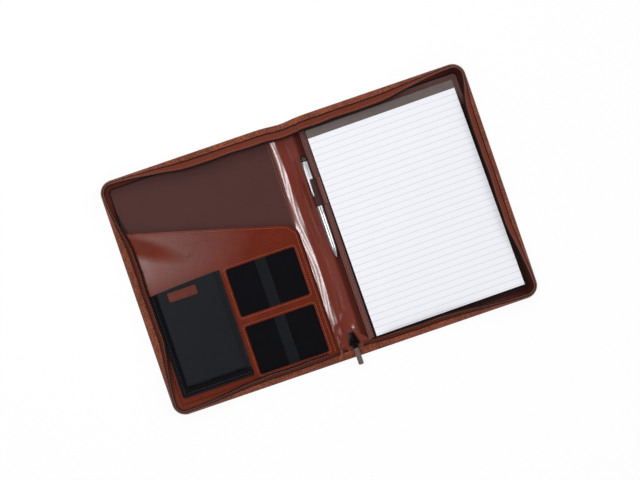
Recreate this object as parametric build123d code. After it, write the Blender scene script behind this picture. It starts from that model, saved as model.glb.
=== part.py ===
from build123d import *
import math
import os

# Zippered padfolio, lying open: the back half carries the writing pad, the front half the
# pockets, and the spine between them carries the end of the zip. Millimetres, +Z up.
# The origin is the middle of the spine's underside. +X runs to the writing pad's half and
# +Y to the pad's top edge. The front half's covers and walls mirror the back half's.

# The open case
open_width = 518.0
case_height = 332.0
corner_radius = 15.0
spine_width = 36.0          # between the two fold lines
fold_axis_z = 1.0           # height of both fold axes
fold_gap = 0.3              # left free on each side of a fold line

# Layers of a cover, from the table upwards
leather_thickness = 1.2
foam_thickness = 1.0
board_thickness = 1.4
lining_thickness = 0.6
panel_inset = 6.0           # foam, board and lining, in from the case's outline

# Spine
spine_board_thickness = 1.0
spine_board_margin = 2.0    # board's edge to the fold line
spine_crown = 1.2           # rise of the inner leather's rounded strip
spine_crown_margin = 2.6    # rounded strip's edge to the fold line
spine_end_margin = 14.0     # board and strip, in from the case's ends

# Zip wall: it stands on the cover leather, steep at the corners, and leans inwards along the sides
closed_gap = 0.6            # between the two rims of the closed case
wall_foot_inset = 1.0
wall_thickness = 1.6
side_rim_inset = 17.0
corner_rim_inset = 6.0
lean_run = 85.0             # stretch over which the lean grows, away from a corner
lean_power = 1.3            # over 1: the wall rises steeply, then leans over
gusset_height = 8.2
coil_height = 2.0
coil_width = 3.0
run_steps = 8               # sections in a stretch of growing lean
corner_steps = 8            # sections in a rounded corner
fold_flap_length = 12.0     # gusset lying flat at the spine's lower end
fold_flap_thickness = 1.6

# Writing pad and its seat
pad_end_room = 19.7         # beyond the pad's two ends, on the average
pad_outer_room = 18.4       # pad's outer edge to the case's outline
pad_drop = 2.1              # pad's middle below the case's middle
pad_board_thickness = 0.8
pages_thickness = 5.0
binding_tape_thickness = 0.3
binding_tape_width = 11.4
sleeve_thickness = 0.6
sleeve_hem = 2.0
sleeve_edge_inset = 13.0    # right edge, in from the case's outline
sleeve_lower_inset = 11.0
sleeve_mouth_drop = 20.0    # mouth below the pad's top edge
edge_strip_width = 9.3
edge_strip_thickness = 2.2
edge_strip_end_inset = 16.0
pad_side_gap = 0.6

# Pen, its loop and the loop's strap
pen_diameter = 8.8
pen_length = 142.0
pen_top_room = 53.4         # cap to the case's upper end
pen_x = 15.2
pen_z = 9.3
pen_cap_length = 8.0
pen_ring_length = 3.0
pen_ring_swell = 0.2
pen_upper_length = 66.0
pen_tip_length = 13.0
pen_tip_diameter = 2.6
pen_lower_diameter = 8.4
refill_diameter = 3.0
refill_clearance = 0.2
refill_top_margin = 4.0
clip_width = 3.2
clip_thickness = 0.9
clip_length = 45.0
clip_root_length = 3.0
clip_lean = 30.0            # degrees, towards the spine's middle
loop_length = 38.0
loop_drop = 32.9            # loop's upper end below the pen's
loop_thickness = 0.7
loop_clearance = 0.3
loop_axis_x = 24.0          # where the strap bends
strap_thickness = 0.7
strap_lift = 0.2            # free part of the strap, above the edge strip
strap_bend_gap = 0.5        # free and sewn part, to the bend's axis

# Tablet pocket
pocket_outer_inset = 15.0   # left edge, in from the case's outline
pocket_lower_inset = 14.0
pocket_spine_gap = 7.8      # right edge to the fold line
pocket_left_height = 242.7
pocket_right_height = 181.0
pocket_corner_radius = 14.0
pocket_depth = 4.6          # room behind the card windows' cloth
pocket_panel_thickness = 1.2
pocket_hem = 2.5

# Card windows in the tablet pocket's panel
window_width = 97.0
window_height = 67.0
window_radius = 3.0
window_right_margin = 9.2   # to the pocket's right edge
window_lower_margin = 5.6   # to the pocket's lower edge
window_spacing = 81.0
window_count = 2
cloth_thickness = 0.8
cloth_margin = 2.5
elastic_width = 15.5
elastic_thickness = 0.6
elastic_end_gap = 0.1

# Phone pocket on the tablet pocket's panel
phone_pocket_width = 99.0
phone_pocket_height = 146.0
phone_pocket_depth = 4.6
phone_cloth_thickness = 1.0
phone_side_width = 1.5
phone_left_margin = 5.2     # to the tablet pocket's left edge
phone_lower_margin = 10.4
piping_width = 3.0
piping_drop = 0.6           # piping's top below the pocket's face
tab_width = 40.0
tab_height = 13.0
tab_thickness = 0.8
tab_top_margin = 7.6
tab_radius = 2.0
tab_shift = 6.5             # tab's middle, left of the pocket's middle

# Zip slider and pull
tail_width = 10.0
tail_thickness = 1.2
tail_length = 36.0
tail_end_inset = 3.0        # tail's lower end, in from the case's outline
slider_length = 16.0
slider_width = 13.6
slider_end_room = 16.0      # slider to the case's lower end
slider_plate_thickness = 1.2
slider_flange_width = 1.2
slider_clearance = 0.4      # over and beside the tail
slider_radius = 4.0
bail_width = 2.4
bail_length = 11.0
bail_thickness = 0.8
bail_inner_height = 1.8
bail_end_margin = 2.0
pull_bar_diameter = 0.9
pull_arm_width = 1.0
pull_arm_clearance = 0.6    # beside the bail
link_length = 14.0
tab_overlap = 6.0           # pull tab round the link's end
pull_length = 31.0
pull_tab_width = 7.0
pull_tab_thickness = 2.4
pull_tab_radius = 1.6

# Places worked out from the sizes above
half_span = open_width / 2
half_height = case_height / 2
fold_x = spine_width / 2
rim_z = (spine_width + 2 * fold_axis_z - closed_gap) / 2
lining_top = leather_thickness + foam_thickness + board_thickness + lining_thickness
spine_top = leather_thickness + spine_board_thickness + spine_crown
panel_start = fold_x + spine_top - fold_axis_z + fold_gap
gusset_top = leather_thickness + gusset_height
tape_top = rim_z - coil_height
edge_strip_top = lining_top + edge_strip_thickness
edge_strip_end = panel_start + edge_strip_width
pad_left = edge_strip_end + pad_side_gap
pad_right = half_span - pad_outer_room
pad_height = case_height - 2 * pad_end_room
pad_top = pad_height / 2 - pad_drop
pad_bottom = pad_top - pad_height
pad_board_top = lining_top + pad_board_thickness
sleeve_top = pad_board_top + sleeve_thickness
pages_top = sleeve_top + pages_thickness
pocket_left = -(half_span - pocket_outer_inset)
pocket_right = -(fold_x + pocket_spine_gap)
pocket_bottom = -(half_height - pocket_lower_inset)
cloth_bottom = lining_top + pocket_depth
panel_bottom = cloth_bottom + cloth_thickness
panel_top = panel_bottom + pocket_panel_thickness
window_x = pocket_right - window_right_margin - window_width / 2
lower_window_y = pocket_bottom + window_lower_margin + window_height / 2
phone_left = pocket_left + phone_left_margin
phone_bottom = pocket_bottom + phone_lower_margin
phone_front_bottom = panel_top + phone_pocket_depth
phone_front_top = phone_front_bottom + phone_cloth_thickness
pen_radius = pen_diameter / 2
pen_top_y = half_height - pen_top_room
loop_top_y = pen_top_y - loop_drop
loop_inner_radius = pen_radius + loop_clearance
loop_outer_radius = loop_inner_radius + loop_thickness
tail_top = spine_top + tail_thickness
slider_lower_y = -half_height + slider_end_room
slider_plate_bottom = tail_top + slider_clearance
slider_top = slider_plate_bottom + slider_plate_thickness
pull_axis_z = slider_top + bail_inner_height / 2
bail_lower_y = slider_lower_y + bail_end_margin
pull_axis_y = bail_lower_y + bail_thickness + pull_bar_diameter
link_half_width = bail_width / 2 + pull_arm_clearance + pull_arm_width


def block(x_low, x_high, y_low, y_high, z_low, z_high):
    """A box between six planes."""
    size = Box(x_high - x_low, y_high - y_low, z_high - z_low)
    return Pos((x_low + x_high) / 2, (y_low + y_high) / 2, (z_low + z_high) / 2) * size


def rounded_block(x_low, x_high, y_low, y_high, z_low, z_high, radius):
    """A box whose upright edges are rounded."""
    face = RectangleRounded(x_high - x_low, y_high - y_low, radius)
    return extrude(Pos((x_low + x_high) / 2, (y_low + y_high) / 2, z_low) * face, z_high - z_low)


def on_front(solid):
    """The same piece on the front half."""
    return mirror(solid, about=Plane.YZ)


# Covers


def cover_layer(inset, x_start, z_low, thickness):
    """One sheet of the back cover, rounded at its two outer corners."""
    width = half_span - inset - x_start
    face = Pos(x_start + width / 2, 0) * Rectangle(width, 2 * (half_height - inset))
    outer_corners = face.vertices().sort_by(Axis.X)[-2:]
    face = fillet(outer_corners, corner_radius - inset)
    return extrude(Pos(0, 0, z_low) * face, thickness)


def cover_layers():
    """The back cover's four sheets by name."""
    foam_z = leather_thickness
    board_z = foam_z + foam_thickness
    lining_z = board_z + board_thickness
    return {
        "cover_leather": cover_layer(0, fold_x + fold_gap, 0, leather_thickness),
        "foam_padding": cover_layer(panel_inset, panel_start, foam_z, foam_thickness),
        "stiffener_board": cover_layer(panel_inset, panel_start, board_z, board_thickness),
        "lining": cover_layer(panel_inset, panel_start, lining_z, lining_thickness),
    }


# Zip wall


def wall_inset(z, lean):
    """How far the wall's outer face is in from the outline at height z."""
    rim = corner_rim_inset + (side_rim_inset - corner_rim_inset) * lean
    share = (z - leather_thickness) / (rim_z - leather_thickness)
    return wall_foot_inset + (rim - wall_foot_inset) * share ** lean_power


def eased(share):
    """0 to 1 with a level start and end."""
    return share * share * (3 - 2 * share)


def wall_stations():
    """Points round the back half's outline: place, inward direction and lean.

    They run from the spine's upper end along the top, the right side and the bottom,
    as far as the spine's lower end."""
    corner_x = half_span - corner_radius
    corner_y = half_height - corner_radius
    stations = []
    for step in range(run_steps + 1):
        lean = 1 - eased(step / run_steps)
        x = corner_x - lean_run + lean_run * step / run_steps
        stations.append((Vector(x, half_height), Vector(0, -1), lean))
    for step in range(1, corner_steps):
        turn = math.radians(90 - 90 * step / corner_steps)
        out = Vector(math.cos(turn), math.sin(turn))
        stations.append((Vector(corner_x, corner_y) + out * corner_radius, -out, 0))
    for step in range(run_steps + 1):
        lean = eased(step / run_steps)
        y = corner_y - lean_run * step / run_steps
        stations.append((Vector(half_span, y), Vector(-1, 0), lean))
    lower_half = [
        (Vector(place.X, -place.Y), Vector(inward.X, -inward.Y), lean)
        for place, inward, lean in reversed(stations)
    ]
    return stations + lower_half


def wall_section(place, inward, lean, z_low, z_high, outer_extra, width):
    """A four-sided section of the wall between two heights."""
    low = wall_inset(z_low, lean) - outer_extra
    high = wall_inset(z_high, lean) - outer_extra
    corners = []
    for inset, z in ((low, z_low), (high, z_high), (high + width, z_high), (low + width, z_low)):
        corners.append(place + inward * inset + Vector(0, 0, z))
    return corners


def lean_to_fold(corners, side):
    """Slant a section so that it clears the spine's wall when the case folds."""
    slanted = []
    for point in corners:
        x = side * (fold_x + point.Z - fold_axis_z + fold_gap)
        slanted.append(Vector(x, point.Y, point.Z))
    return slanted


def loft_sections(sections):
    """One strip through all its sections."""
    wires = [Wire.make_polygon(corners, close=True) for corners in sections]
    return Solid.make_loft(wires, ruled=True)


def wall_strip(z_low, z_high, outer_extra, width):
    """A strip of the back half's wall from the spine's upper end to its lower end."""
    sections = []
    for place, inward, lean in wall_stations():
        sections.append(wall_section(place, inward, lean, z_low, z_high, outer_extra, width))
    at_top = wall_section(Vector(0, half_height), Vector(0, -1), 1, z_low, z_high, outer_extra, width)
    at_bottom = wall_section(Vector(0, -half_height), Vector(0, 1), 1, z_low, z_high, outer_extra, width)
    sections.insert(0, lean_to_fold(at_top, 1))
    sections.append(lean_to_fold(at_bottom, 1))
    return loft_sections(sections)


def wall_strips():
    """The back half's wall by name: leather gusset, zip tape and coil."""
    coil_extra = (coil_width - wall_thickness) / 2
    return {
        "zip_gusset": wall_strip(leather_thickness, gusset_top, 0, wall_thickness),
        "zip_tape": wall_strip(gusset_top, tape_top, 0, wall_thickness),
        "zip_coil": wall_strip(tape_top, rim_z, coil_extra, coil_width),
    }


def spine_wall(z_low, z_high):
    """The wall across the spine's upper end, between the two fold lines."""
    corners = wall_section(Vector(0, half_height), Vector(0, -1), 1, z_low, z_high, 0, wall_thickness)
    ends = []
    for side in (-1, 1):
        end = []
        for point in corners:
            x = side * (fold_x - (point.Z - fold_axis_z) - fold_gap)
            end.append(Vector(x, point.Y, point.Z))
        ends.append(end)
    return loft_sections(ends)


# Spine


def spine_leather():
    """Outer leather between the two fold lines."""
    reach = fold_x - fold_gap
    return block(-reach, reach, -half_height, half_height, 0, leather_thickness)


def spine_board():
    """Stiff strip in the spine."""
    reach = fold_x - spine_board_margin
    end = half_height - spine_end_margin
    return block(-reach, reach, -end, end, leather_thickness, leather_thickness + spine_board_thickness)


def spine_inner_leather():
    """Rounded leather strip that shows inside the spine."""
    reach = fold_x - spine_crown_margin
    low = spine_top - spine_crown
    with_arc = make_face(
        [
            ThreePointArc((-reach, low), (0, spine_top), (reach, low)),
            Line((reach, low), (-reach, low)),
        ]
    )
    end = half_height - spine_end_margin
    return extrude(Plane.XZ.offset(-end) * with_arc, 2 * end)


def spine_fold_flap():
    """Gusset folded flat at the spine's lower end, under the zip's tail."""
    reach = fold_x - fold_flap_thickness - fold_gap
    low = -half_height + wall_foot_inset
    top = leather_thickness + fold_flap_thickness
    return block(-reach, reach, low, low + fold_flap_length, leather_thickness, top)


# Writing pad


def pad_edge_strip():
    """Stitched leather strip between the spine and the pad."""
    end = half_height - edge_strip_end_inset
    return block(panel_start, edge_strip_end, -end, end, lining_top, edge_strip_top)


def pad_sleeve_panel():
    """Leather panel that the pad's backing board slides behind, sewn at three sides."""
    right = half_span - sleeve_edge_inset
    low = -(half_height - sleeve_lower_inset)
    high = pad_top - sleeve_mouth_drop
    panel = block(edge_strip_end, right, low, high, lining_top, sleeve_top)
    room = block(edge_strip_end, right - sleeve_hem, low + sleeve_hem, high, lining_top, pad_board_top)
    return panel - room


def pad_backing_board():
    """The pad's cardboard, behind the sleeve panel."""
    return block(pad_left, pad_right, pad_bottom, pad_top, lining_top, pad_board_top)


def pad_pages():
    """The stack of ruled sheets, in front of the sleeve panel."""
    return block(pad_left, pad_right, pad_bottom, pad_top, sleeve_top, pages_top)


def pad_binding_tape():
    """Tape folded over the pad's bound edge, from the pages' face to the backing board."""
    high = pad_top + binding_tape_thickness
    face_top = pages_top + binding_tape_thickness
    face = block(pad_left, pad_right, pad_top - binding_tape_width, high, pages_top, face_top)
    fall = block(pad_left, pad_right, pad_top, high, lining_top, face_top)
    between = block(pad_left, pad_right, pad_top - binding_tape_width, high, pad_board_top, sleeve_top)
    return face + fall + between


# Tablet pocket, card windows and phone pocket


def window_y(index):
    """Middle of a card window, the lower one first."""
    return lower_window_y + window_spacing * index


def pocket_outline():
    """The tablet pocket's panel, with its slanted mouth and rounded upper corner."""
    lower_left = (pocket_left, pocket_bottom)
    lower_right = (pocket_right, pocket_bottom)
    upper_right = (pocket_right, pocket_bottom + pocket_right_height)
    upper_left = (pocket_left, pocket_bottom + pocket_left_height)
    face = make_face(Polyline(lower_left, lower_right, upper_right, upper_left, close=True))
    corner = face.vertices().sort_by_distance(upper_right)[0]
    return fillet(corner, pocket_corner_radius)


def tablet_pocket_panel():
    """Face of the tablet pocket with the two card windows cut through it."""
    panel = extrude(Pos(0, 0, panel_bottom) * pocket_outline(), pocket_panel_thickness)
    for index in range(window_count):
        opening = RectangleRounded(window_width, window_height, window_radius)
        place = Pos(window_x, window_y(index), panel_bottom)
        panel -= extrude(place * opening, pocket_panel_thickness)
    return panel


def tablet_pocket_hem():
    """Turned edge that joins the pocket's panel to the lining at three sides."""
    outline = extrude(Pos(0, 0, lining_top) * pocket_outline(), panel_bottom - lining_top)
    room = block(
        pocket_left + pocket_hem,
        pocket_right - pocket_hem,
        pocket_bottom + pocket_hem,
        pocket_bottom + pocket_left_height,
        lining_top,
        panel_bottom,
    )
    mouth = block(
        pocket_right - pocket_corner_radius,
        pocket_right,
        pocket_bottom + pocket_right_height - pocket_corner_radius,
        pocket_bottom + pocket_left_height,
        lining_top,
        panel_bottom,
    )
    return outline - room - mouth


def card_window_cloth(index):
    """Cloth behind a card window."""
    half_x = window_width / 2 + cloth_margin
    half_y = window_height / 2 + cloth_margin
    y = window_y(index)
    return block(window_x - half_x, window_x + half_x, y - half_y, y + half_y, cloth_bottom, panel_bottom)


def card_elastic(index):
    """Elastic band that holds a card in its window."""
    half_x = elastic_width / 2
    half_y = window_height / 2 - elastic_end_gap
    y = window_y(index)
    top = panel_bottom + elastic_thickness
    return block(window_x - half_x, window_x + half_x, y - half_y, y + half_y, panel_bottom, top)


def phone_pocket():
    """Cloth pouch, open at its upper end."""
    right = phone_left + phone_pocket_width
    high = phone_bottom + phone_pocket_height
    pouch = block(phone_left, right, phone_bottom, high, panel_top, phone_front_top)
    room = block(
        phone_left + phone_side_width,
        right - phone_side_width,
        phone_bottom + phone_side_width,
        high,
        panel_top,
        phone_front_bottom,
    )
    return pouch - room


def phone_pocket_piping():
    """Thick piping along the pouch's left and lower edges."""
    right = phone_left + phone_pocket_width
    high = phone_bottom + phone_pocket_height
    top = phone_front_top - piping_drop
    left_run = block(phone_left - piping_width, phone_left, phone_bottom, high, panel_top, top)
    lower_run = block(
        phone_left - piping_width, right, phone_bottom - piping_width, phone_bottom, panel_top, top
    )
    return left_run + lower_run


def phone_pocket_tab():
    """Leather tab near the pouch's mouth."""
    middle = phone_left + phone_pocket_width / 2 - tab_shift
    high = phone_bottom + phone_pocket_height - tab_top_margin
    return rounded_block(
        middle - tab_width / 2,
        middle + tab_width / 2,
        high - tab_height,
        high,
        phone_front_top,
        phone_front_top + tab_thickness,
        tab_radius,
    )


# Pen and loop


def pen_rod(y_high, length, diameter):
    """A round length of the pen, down from y_high."""
    rod = Rot(90, 0, 0) * Cylinder(diameter / 2, length)
    return Pos(pen_x, y_high - length / 2, pen_z) * rod


def pen_pieces():
    """The pen's pieces by name, from the cap down."""
    ring_y = pen_top_y - pen_cap_length
    upper_y = ring_y - pen_ring_length
    lower_y = upper_y - pen_upper_length
    tip_y = pen_top_y - pen_length + pen_tip_length
    lower_length = lower_y - tip_y
    bore = refill_diameter + 2 * refill_clearance
    refill_y = upper_y - refill_top_margin
    refill_end = tip_y
    hollow = pen_rod(refill_y, refill_y - refill_end, bore)
    cap = fillet(pen_rod(pen_top_y, pen_cap_length, pen_diameter).edges().sort_by(Axis.Y)[-1], pen_radius / 2)
    tip = Pos(pen_x, tip_y - pen_tip_length / 2, pen_z) * Rot(90, 0, 0) * Cone(
        pen_lower_diameter / 2, pen_tip_diameter / 2, pen_tip_length
    )
    return {
        "pen_cap": cap,
        "pen_ring": pen_rod(ring_y, pen_ring_length, pen_diameter + 2 * pen_ring_swell),
        "pen_upper_barrel": pen_rod(upper_y, pen_upper_length, pen_diameter) - hollow,
        "pen_lower_barrel": pen_rod(lower_y, lower_length, pen_lower_diameter) - hollow,
        "pen_tip": tip,
        "pen_refill": pen_rod(refill_y - refill_clearance, refill_y - refill_clearance - refill_end, refill_diameter),
        "pen_clip": pen_clip(upper_y),
    }


def pen_clip(top_y):
    """Spring clip that passes over the loop, with its root on the barrel."""
    inner = loop_outer_radius + loop_clearance
    outer = inner + clip_thickness
    half = clip_width / 2
    blade = block(-half, half, top_y - clip_length, top_y, inner, outer)
    root = block(-half, half, top_y - clip_root_length, top_y, 0, inner)
    barrel = Rot(90, 0, 0) * Cylinder(pen_radius, 2 * clip_root_length)
    root = root - Pos(0, top_y, 0) * barrel
    return Pos(pen_x, 0, pen_z) * Rot(0, -clip_lean, 0) * (blade + root)


def pen_loop():
    """Leather loop round the pen, with the free part of its strap."""
    middle_y = loop_top_y - loop_length / 2
    ring = Rot(90, 0, 0) * Cylinder(loop_outer_radius, loop_length)
    bore = Rot(90, 0, 0) * Cylinder(loop_inner_radius, loop_length)
    strap_low = edge_strip_top + strap_lift
    strap = block(
        pen_x,
        loop_axis_x - strap_bend_gap,
        loop_top_y - loop_length,
        loop_top_y,
        strap_low,
        strap_low + strap_thickness,
    )
    place = Pos(pen_x, middle_y, pen_z)
    return place * ring + strap - place * bore


def pen_loop_strap():
    """Part of the loop's strap that is sewn to the edge strip."""
    top = edge_strip_top + strap_lift + strap_thickness
    return block(
        loop_axis_x + strap_bend_gap,
        edge_strip_end,
        loop_top_y - loop_length,
        loop_top_y,
        edge_strip_top,
        top,
    )


# Zip slider and pull


def zip_tail():
    """End of the zip's coil, flat on the spine."""
    low = -half_height + tail_end_inset
    return block(-tail_width / 2, tail_width / 2, low, low + tail_length, spine_top, tail_top)


def slider_body():
    """Slider: a plate over the tail with a flange down each side."""
    half = slider_width / 2
    high = slider_lower_y + slider_length
    flange_bottom = tail_top - tail_thickness + slider_clearance
    body = rounded_block(-half, half, slider_lower_y, high, flange_bottom, slider_top, slider_radius)
    channel = half - slider_flange_width
    return body - block(-channel, channel, slider_lower_y, high, flange_bottom, slider_plate_bottom)


def slider_bail():
    """Bridge on the slider that holds the pull."""
    half = bail_width / 2
    high = bail_lower_y + bail_length
    bridge_top = slider_top + bail_inner_height + bail_thickness
    bail = block(-half, half, bail_lower_y, high, slider_top, bridge_top)
    gap = block(
        -half,
        half,
        bail_lower_y + bail_thickness,
        high - bail_thickness,
        slider_top,
        slider_top + bail_inner_height,
    )
    return bail - gap


def pull_link():
    """Wire link: a bar through the bail, two arms and an end bar."""
    inner = link_half_width - pull_arm_width
    half_thick = pull_bar_diameter / 2
    low_z = pull_axis_z - half_thick
    high_z = pull_axis_z + half_thick
    end_y = pull_axis_y - link_length
    bar = Rot(0, 90, 0) * Cylinder(half_thick, 2 * link_half_width)
    link = Pos(0, pull_axis_y, pull_axis_z) * bar
    for side in (-1, 1):
        x_low = min(side * inner, side * link_half_width)
        link += block(x_low, x_low + pull_arm_width, end_y, pull_axis_y, low_z, high_z)
    return link + block(-link_half_width, link_half_width, end_y, end_y + pull_arm_width, low_z, high_z)


def pull_tab():
    """Leather tab folded round the link's end bar."""
    half = pull_tab_width / 2
    half_thick = pull_tab_thickness / 2
    high = pull_axis_y - link_length + tab_overlap
    low = pull_axis_y - pull_length
    tab = rounded_block(
        -half, half, low, high, pull_axis_z - half_thick, pull_axis_z + half_thick, pull_tab_radius
    )
    return tab - pull_link()


def all_pieces():
    """Every piece by node name."""
    pieces = {}
    for name, solid in {**cover_layers(), **wall_strips()}.items():
        pieces["back_" + name] = solid
        pieces["front_" + name] = on_front(solid)
    pieces["spine_leather"] = spine_leather()
    pieces["spine_board"] = spine_board()
    pieces["spine_inner_leather"] = spine_inner_leather()
    pieces["spine_top_gusset"] = spine_wall(leather_thickness, gusset_top)
    pieces["spine_top_tape"] = spine_wall(gusset_top, tape_top)
    pieces["spine_fold_flap"] = spine_fold_flap()
    pieces["pad_edge_strip"] = pad_edge_strip()
    pieces["pad_sleeve_panel"] = pad_sleeve_panel()
    pieces["pad_backing_board"] = pad_backing_board()
    pieces["pad_pages"] = pad_pages()
    pieces["pad_binding_tape"] = pad_binding_tape()
    pieces["tablet_pocket_panel"] = tablet_pocket_panel()
    pieces["tablet_pocket_hem"] = tablet_pocket_hem()
    for index, name in enumerate(("lower", "upper")):
        pieces[name + "_card_window_cloth"] = card_window_cloth(index)
        pieces[name + "_card_elastic"] = card_elastic(index)
    pieces["phone_pocket"] = phone_pocket()
    pieces["phone_pocket_piping"] = phone_pocket_piping()
    pieces["phone_pocket_tab"] = phone_pocket_tab()
    pieces.update(pen_pieces())
    pieces["pen_loop"] = pen_loop()
    pieces["pen_loop_strap"] = pen_loop_strap()
    pieces["zip_tail"] = zip_tail()
    pieces["slider_body"] = slider_body()
    pieces["slider_bail"] = slider_bail()
    pieces["pull_link"] = pull_link()
    pieces["pull_tab"] = pull_tab()
    return pieces


os.makedirs("parts", exist_ok=True)
for node, solid in all_pieces().items():
    export_step(solid, "parts/" + node + ".step")
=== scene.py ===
"""Looks of a zip-round padfolio that lies open: covers, zip band, pockets, writing pad and pen."""

import functools
import math

import bpy
from mathutils import Matrix, Vector


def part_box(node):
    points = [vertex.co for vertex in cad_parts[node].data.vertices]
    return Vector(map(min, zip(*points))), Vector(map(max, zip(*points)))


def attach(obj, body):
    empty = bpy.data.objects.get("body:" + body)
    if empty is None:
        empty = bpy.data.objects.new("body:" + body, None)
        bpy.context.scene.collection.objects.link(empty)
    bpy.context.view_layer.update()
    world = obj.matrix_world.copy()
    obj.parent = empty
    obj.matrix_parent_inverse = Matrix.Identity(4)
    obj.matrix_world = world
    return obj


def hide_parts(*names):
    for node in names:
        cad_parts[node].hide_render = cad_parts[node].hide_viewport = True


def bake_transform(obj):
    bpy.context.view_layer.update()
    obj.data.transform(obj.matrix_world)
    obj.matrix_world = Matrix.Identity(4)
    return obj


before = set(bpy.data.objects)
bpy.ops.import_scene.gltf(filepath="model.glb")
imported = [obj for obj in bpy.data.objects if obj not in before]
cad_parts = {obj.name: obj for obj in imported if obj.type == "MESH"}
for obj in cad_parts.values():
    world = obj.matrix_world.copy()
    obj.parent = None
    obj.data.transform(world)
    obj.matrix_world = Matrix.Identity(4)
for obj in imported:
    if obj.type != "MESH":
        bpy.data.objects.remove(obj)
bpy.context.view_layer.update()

bl_info = {
    "name": "Zippered Padfolio",
    "version": (1, 0, 0),
    "blender": (4, 5, 0),
    "location": "View3D > Sidebar > Padfolio",
    "description": "Dresses the frame of a zip-round padfolio in leather, cloth, paper and metal",
    "category": "Add Mesh",
}

MM = 0.001
SPINE_PAD_REACH = 20.3 * MM
SPINE_POCKET_REACH = 23.9 * MM
node_box = functools.cache(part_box)


def linear(red, green, blue):
    """A display colour of 0 to 255 as the linear colour that a shader takes."""
    shares = (red / 255, green / 255, blue / 255)
    return tuple(c / 12.92 if c <= 0.04045 else ((c + 0.055) / 1.055) ** 2.4 for c in shares)


def length(name, description, default):
    """A length that the sidebar shows in the scene's unit."""
    return bpy.props.FloatProperty(
        name=name, description=description, default=default, min=0.0, precision=5, unit="LENGTH"
    )


def share(name, description, default):
    """A number from 0 to 1."""
    return bpy.props.FloatProperty(
        name=name, description=description, default=default, min=0.0, max=1.0, subtype="FACTOR"
    )


def colour(name, description, *display):
    """A colour, given as a display colour of 0 to 255."""
    return bpy.props.FloatVectorProperty(
        name=name, description=description, default=linear(*display), min=0.0, max=1.0, subtype="COLOR"
    )


class PadfolioSizes(bpy.types.PropertyGroup):
    """Sizes of the case's soft pieces, in metres."""

    corner_radius: length("Corner radius", "Radius of the case's four corners", 18 * MM)
    rim_inset: length("Rim inset", "How far the zip's rim leans in along the outer side", 18.5 * MM)
    pad_rim_gain: length("Pad rim gain", "How much less the pad half's outer side leans in", 2.4 * MM)
    upper_rim_inset: length("Upper rim inset", "How far the rim leans in along the top", 20 * MM)
    lower_rim_inset: length("Lower rim inset", "How far the rim leans in along the bottom", 15.7 * MM)
    corner_rim_inset: length("Corner rim inset", "How far the rim leans in at a corner", 6 * MM)
    facing_inset: length("Facing inset", "Where the wall's inner face meets the lining", 11 * MM)
    side_lean_run: length("Side lean run", "Length over which the outer side's wall leans in", 95 * MM)
    lean_run: length("Lean run", "Distance from a corner in which the wall comes to lean", 125 * MM)
    gusset_share: share("Gusset share", "Share of the wall that is leather, the rest is zip tape", 0.47)
    tooth_pitch: length("Tooth pitch", "Distance from one zip tooth to the next", 1.9 * MM)
    stitch_pitch: length("Stitch pitch", "Distance from one stitch to the next", 3.6 * MM)
    stitch_length: length("Stitch length", "Length of one stitch", 2.5 * MM)
    spine_rise: share("Spine rise", "Slope of the glossy strip up from the pocket half", 0.2)
    spine_fall: share("Spine fall", "Slope of the glossy strip down towards the pad", 0.29)
    pad_slant: share("Pad slant", "How far the pad lies askew, as rise over run", 0.0079)
    pad_taper: length("Pad taper", "How much narrower the pad lies at its upper end", 2 * MM)
    ruling: length("Ruling", "Distance from one ruled line to the next", 8.71 * MM)


class PadfolioColours(bpy.types.PropertyGroup):
    """Colours of the case's leathers, cloths, papers and metals."""

    cover: colour("Cover leather", "Grained leather of the covers and the zip wall", 128, 67, 46)
    tape: colour("Zip tape", "Zip tape, and the smooth leather inside the wall", 108, 48, 34)
    coil: colour("Zip coil", "Teeth of the zip", 20, 12, 11)
    pocket: colour("Pocket leather", "Glossy leather of the pocket panel", 101, 36, 20)
    spine: colour("Spine leather", "Glossy leather over the spine", 108, 37, 21)
    lining: colour("Lining", "Smooth lining of the pocket half", 75, 44, 41)
    # Painted light: a lighter copy of the lining's colour, against the shade that the zip wall casts over
    # the pad half.
    pad_lining: colour("Pad lining", "Lining under the pad, and the pad's sleeve", 106, 73, 70)
    strip: colour("Dark leather", "Edge strip beside the pad, and the pen loop's strap", 106, 66, 60)
    loop: colour("Pen loop", "Wrinkled leather of the pen loop", 58, 33, 27)
    tab: colour("Tab leather", "Leather tab of the phone pouch", 94, 43, 32)
    thread: colour("Thread", "Light thread of the seams", 162, 98, 72)
    dark_thread: colour("Dark thread", "Dark thread of the zip wall's seam", 70, 34, 25)
    # Painted shadow: this near-black stands in for shade in the wall's seam gap and by the pad's edge, and
    # also colours the edge strip's dark stitches.
    wall_gap: colour("Wall gap", "Sunk line between the zip wall's leather and its tape", 30, 14, 11)
    pouch: colour("Pouch cloth", "Black coated cloth of the phone pouch", 25, 26, 30)
    pouch_thread: colour("Pouch thread", "Thread round the phone pouch", 62, 56, 56)
    # Besides the cloth behind the card windows, this near-black paints the shade on the pouch's left and
    # lower sides.
    window: colour("Window cloth", "Black cloth behind the card windows, and the pouch's edge", 13, 12, 16)
    elastic: colour("Elastic", "Ribbed elastic across the card windows", 25, 26, 30)
    paper: colour("Paper", "Pages of the writing pad", 238, 239, 244)
    ruled: colour("Ruled lines", "Printed lines on the pages", 196, 198, 206)
    binding: colour("Binding tape", "Tape at the pad's head", 97, 87, 85)
    metal: colour("Pen metal", "Polished metal of the pen", 205, 206, 210)
    pen_cap: colour("Pen cap", "Black plastic of the pen's cap", 18, 18, 20)
    refill: colour("Refill", "Brass of the pen's refill", 176, 146, 92)
    slider: colour("Slider metal", "Dark metal of the zip slider", 30, 28, 28)
    pull: colour("Pull leather", "Leather tab of the zip pull", 96, 84, 78)
    board: colour("Board", "Grey board that stiffens the covers", 122, 112, 100)
    foam: colour("Foam", "Foam under the cover leather", 176, 170, 160)


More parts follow.
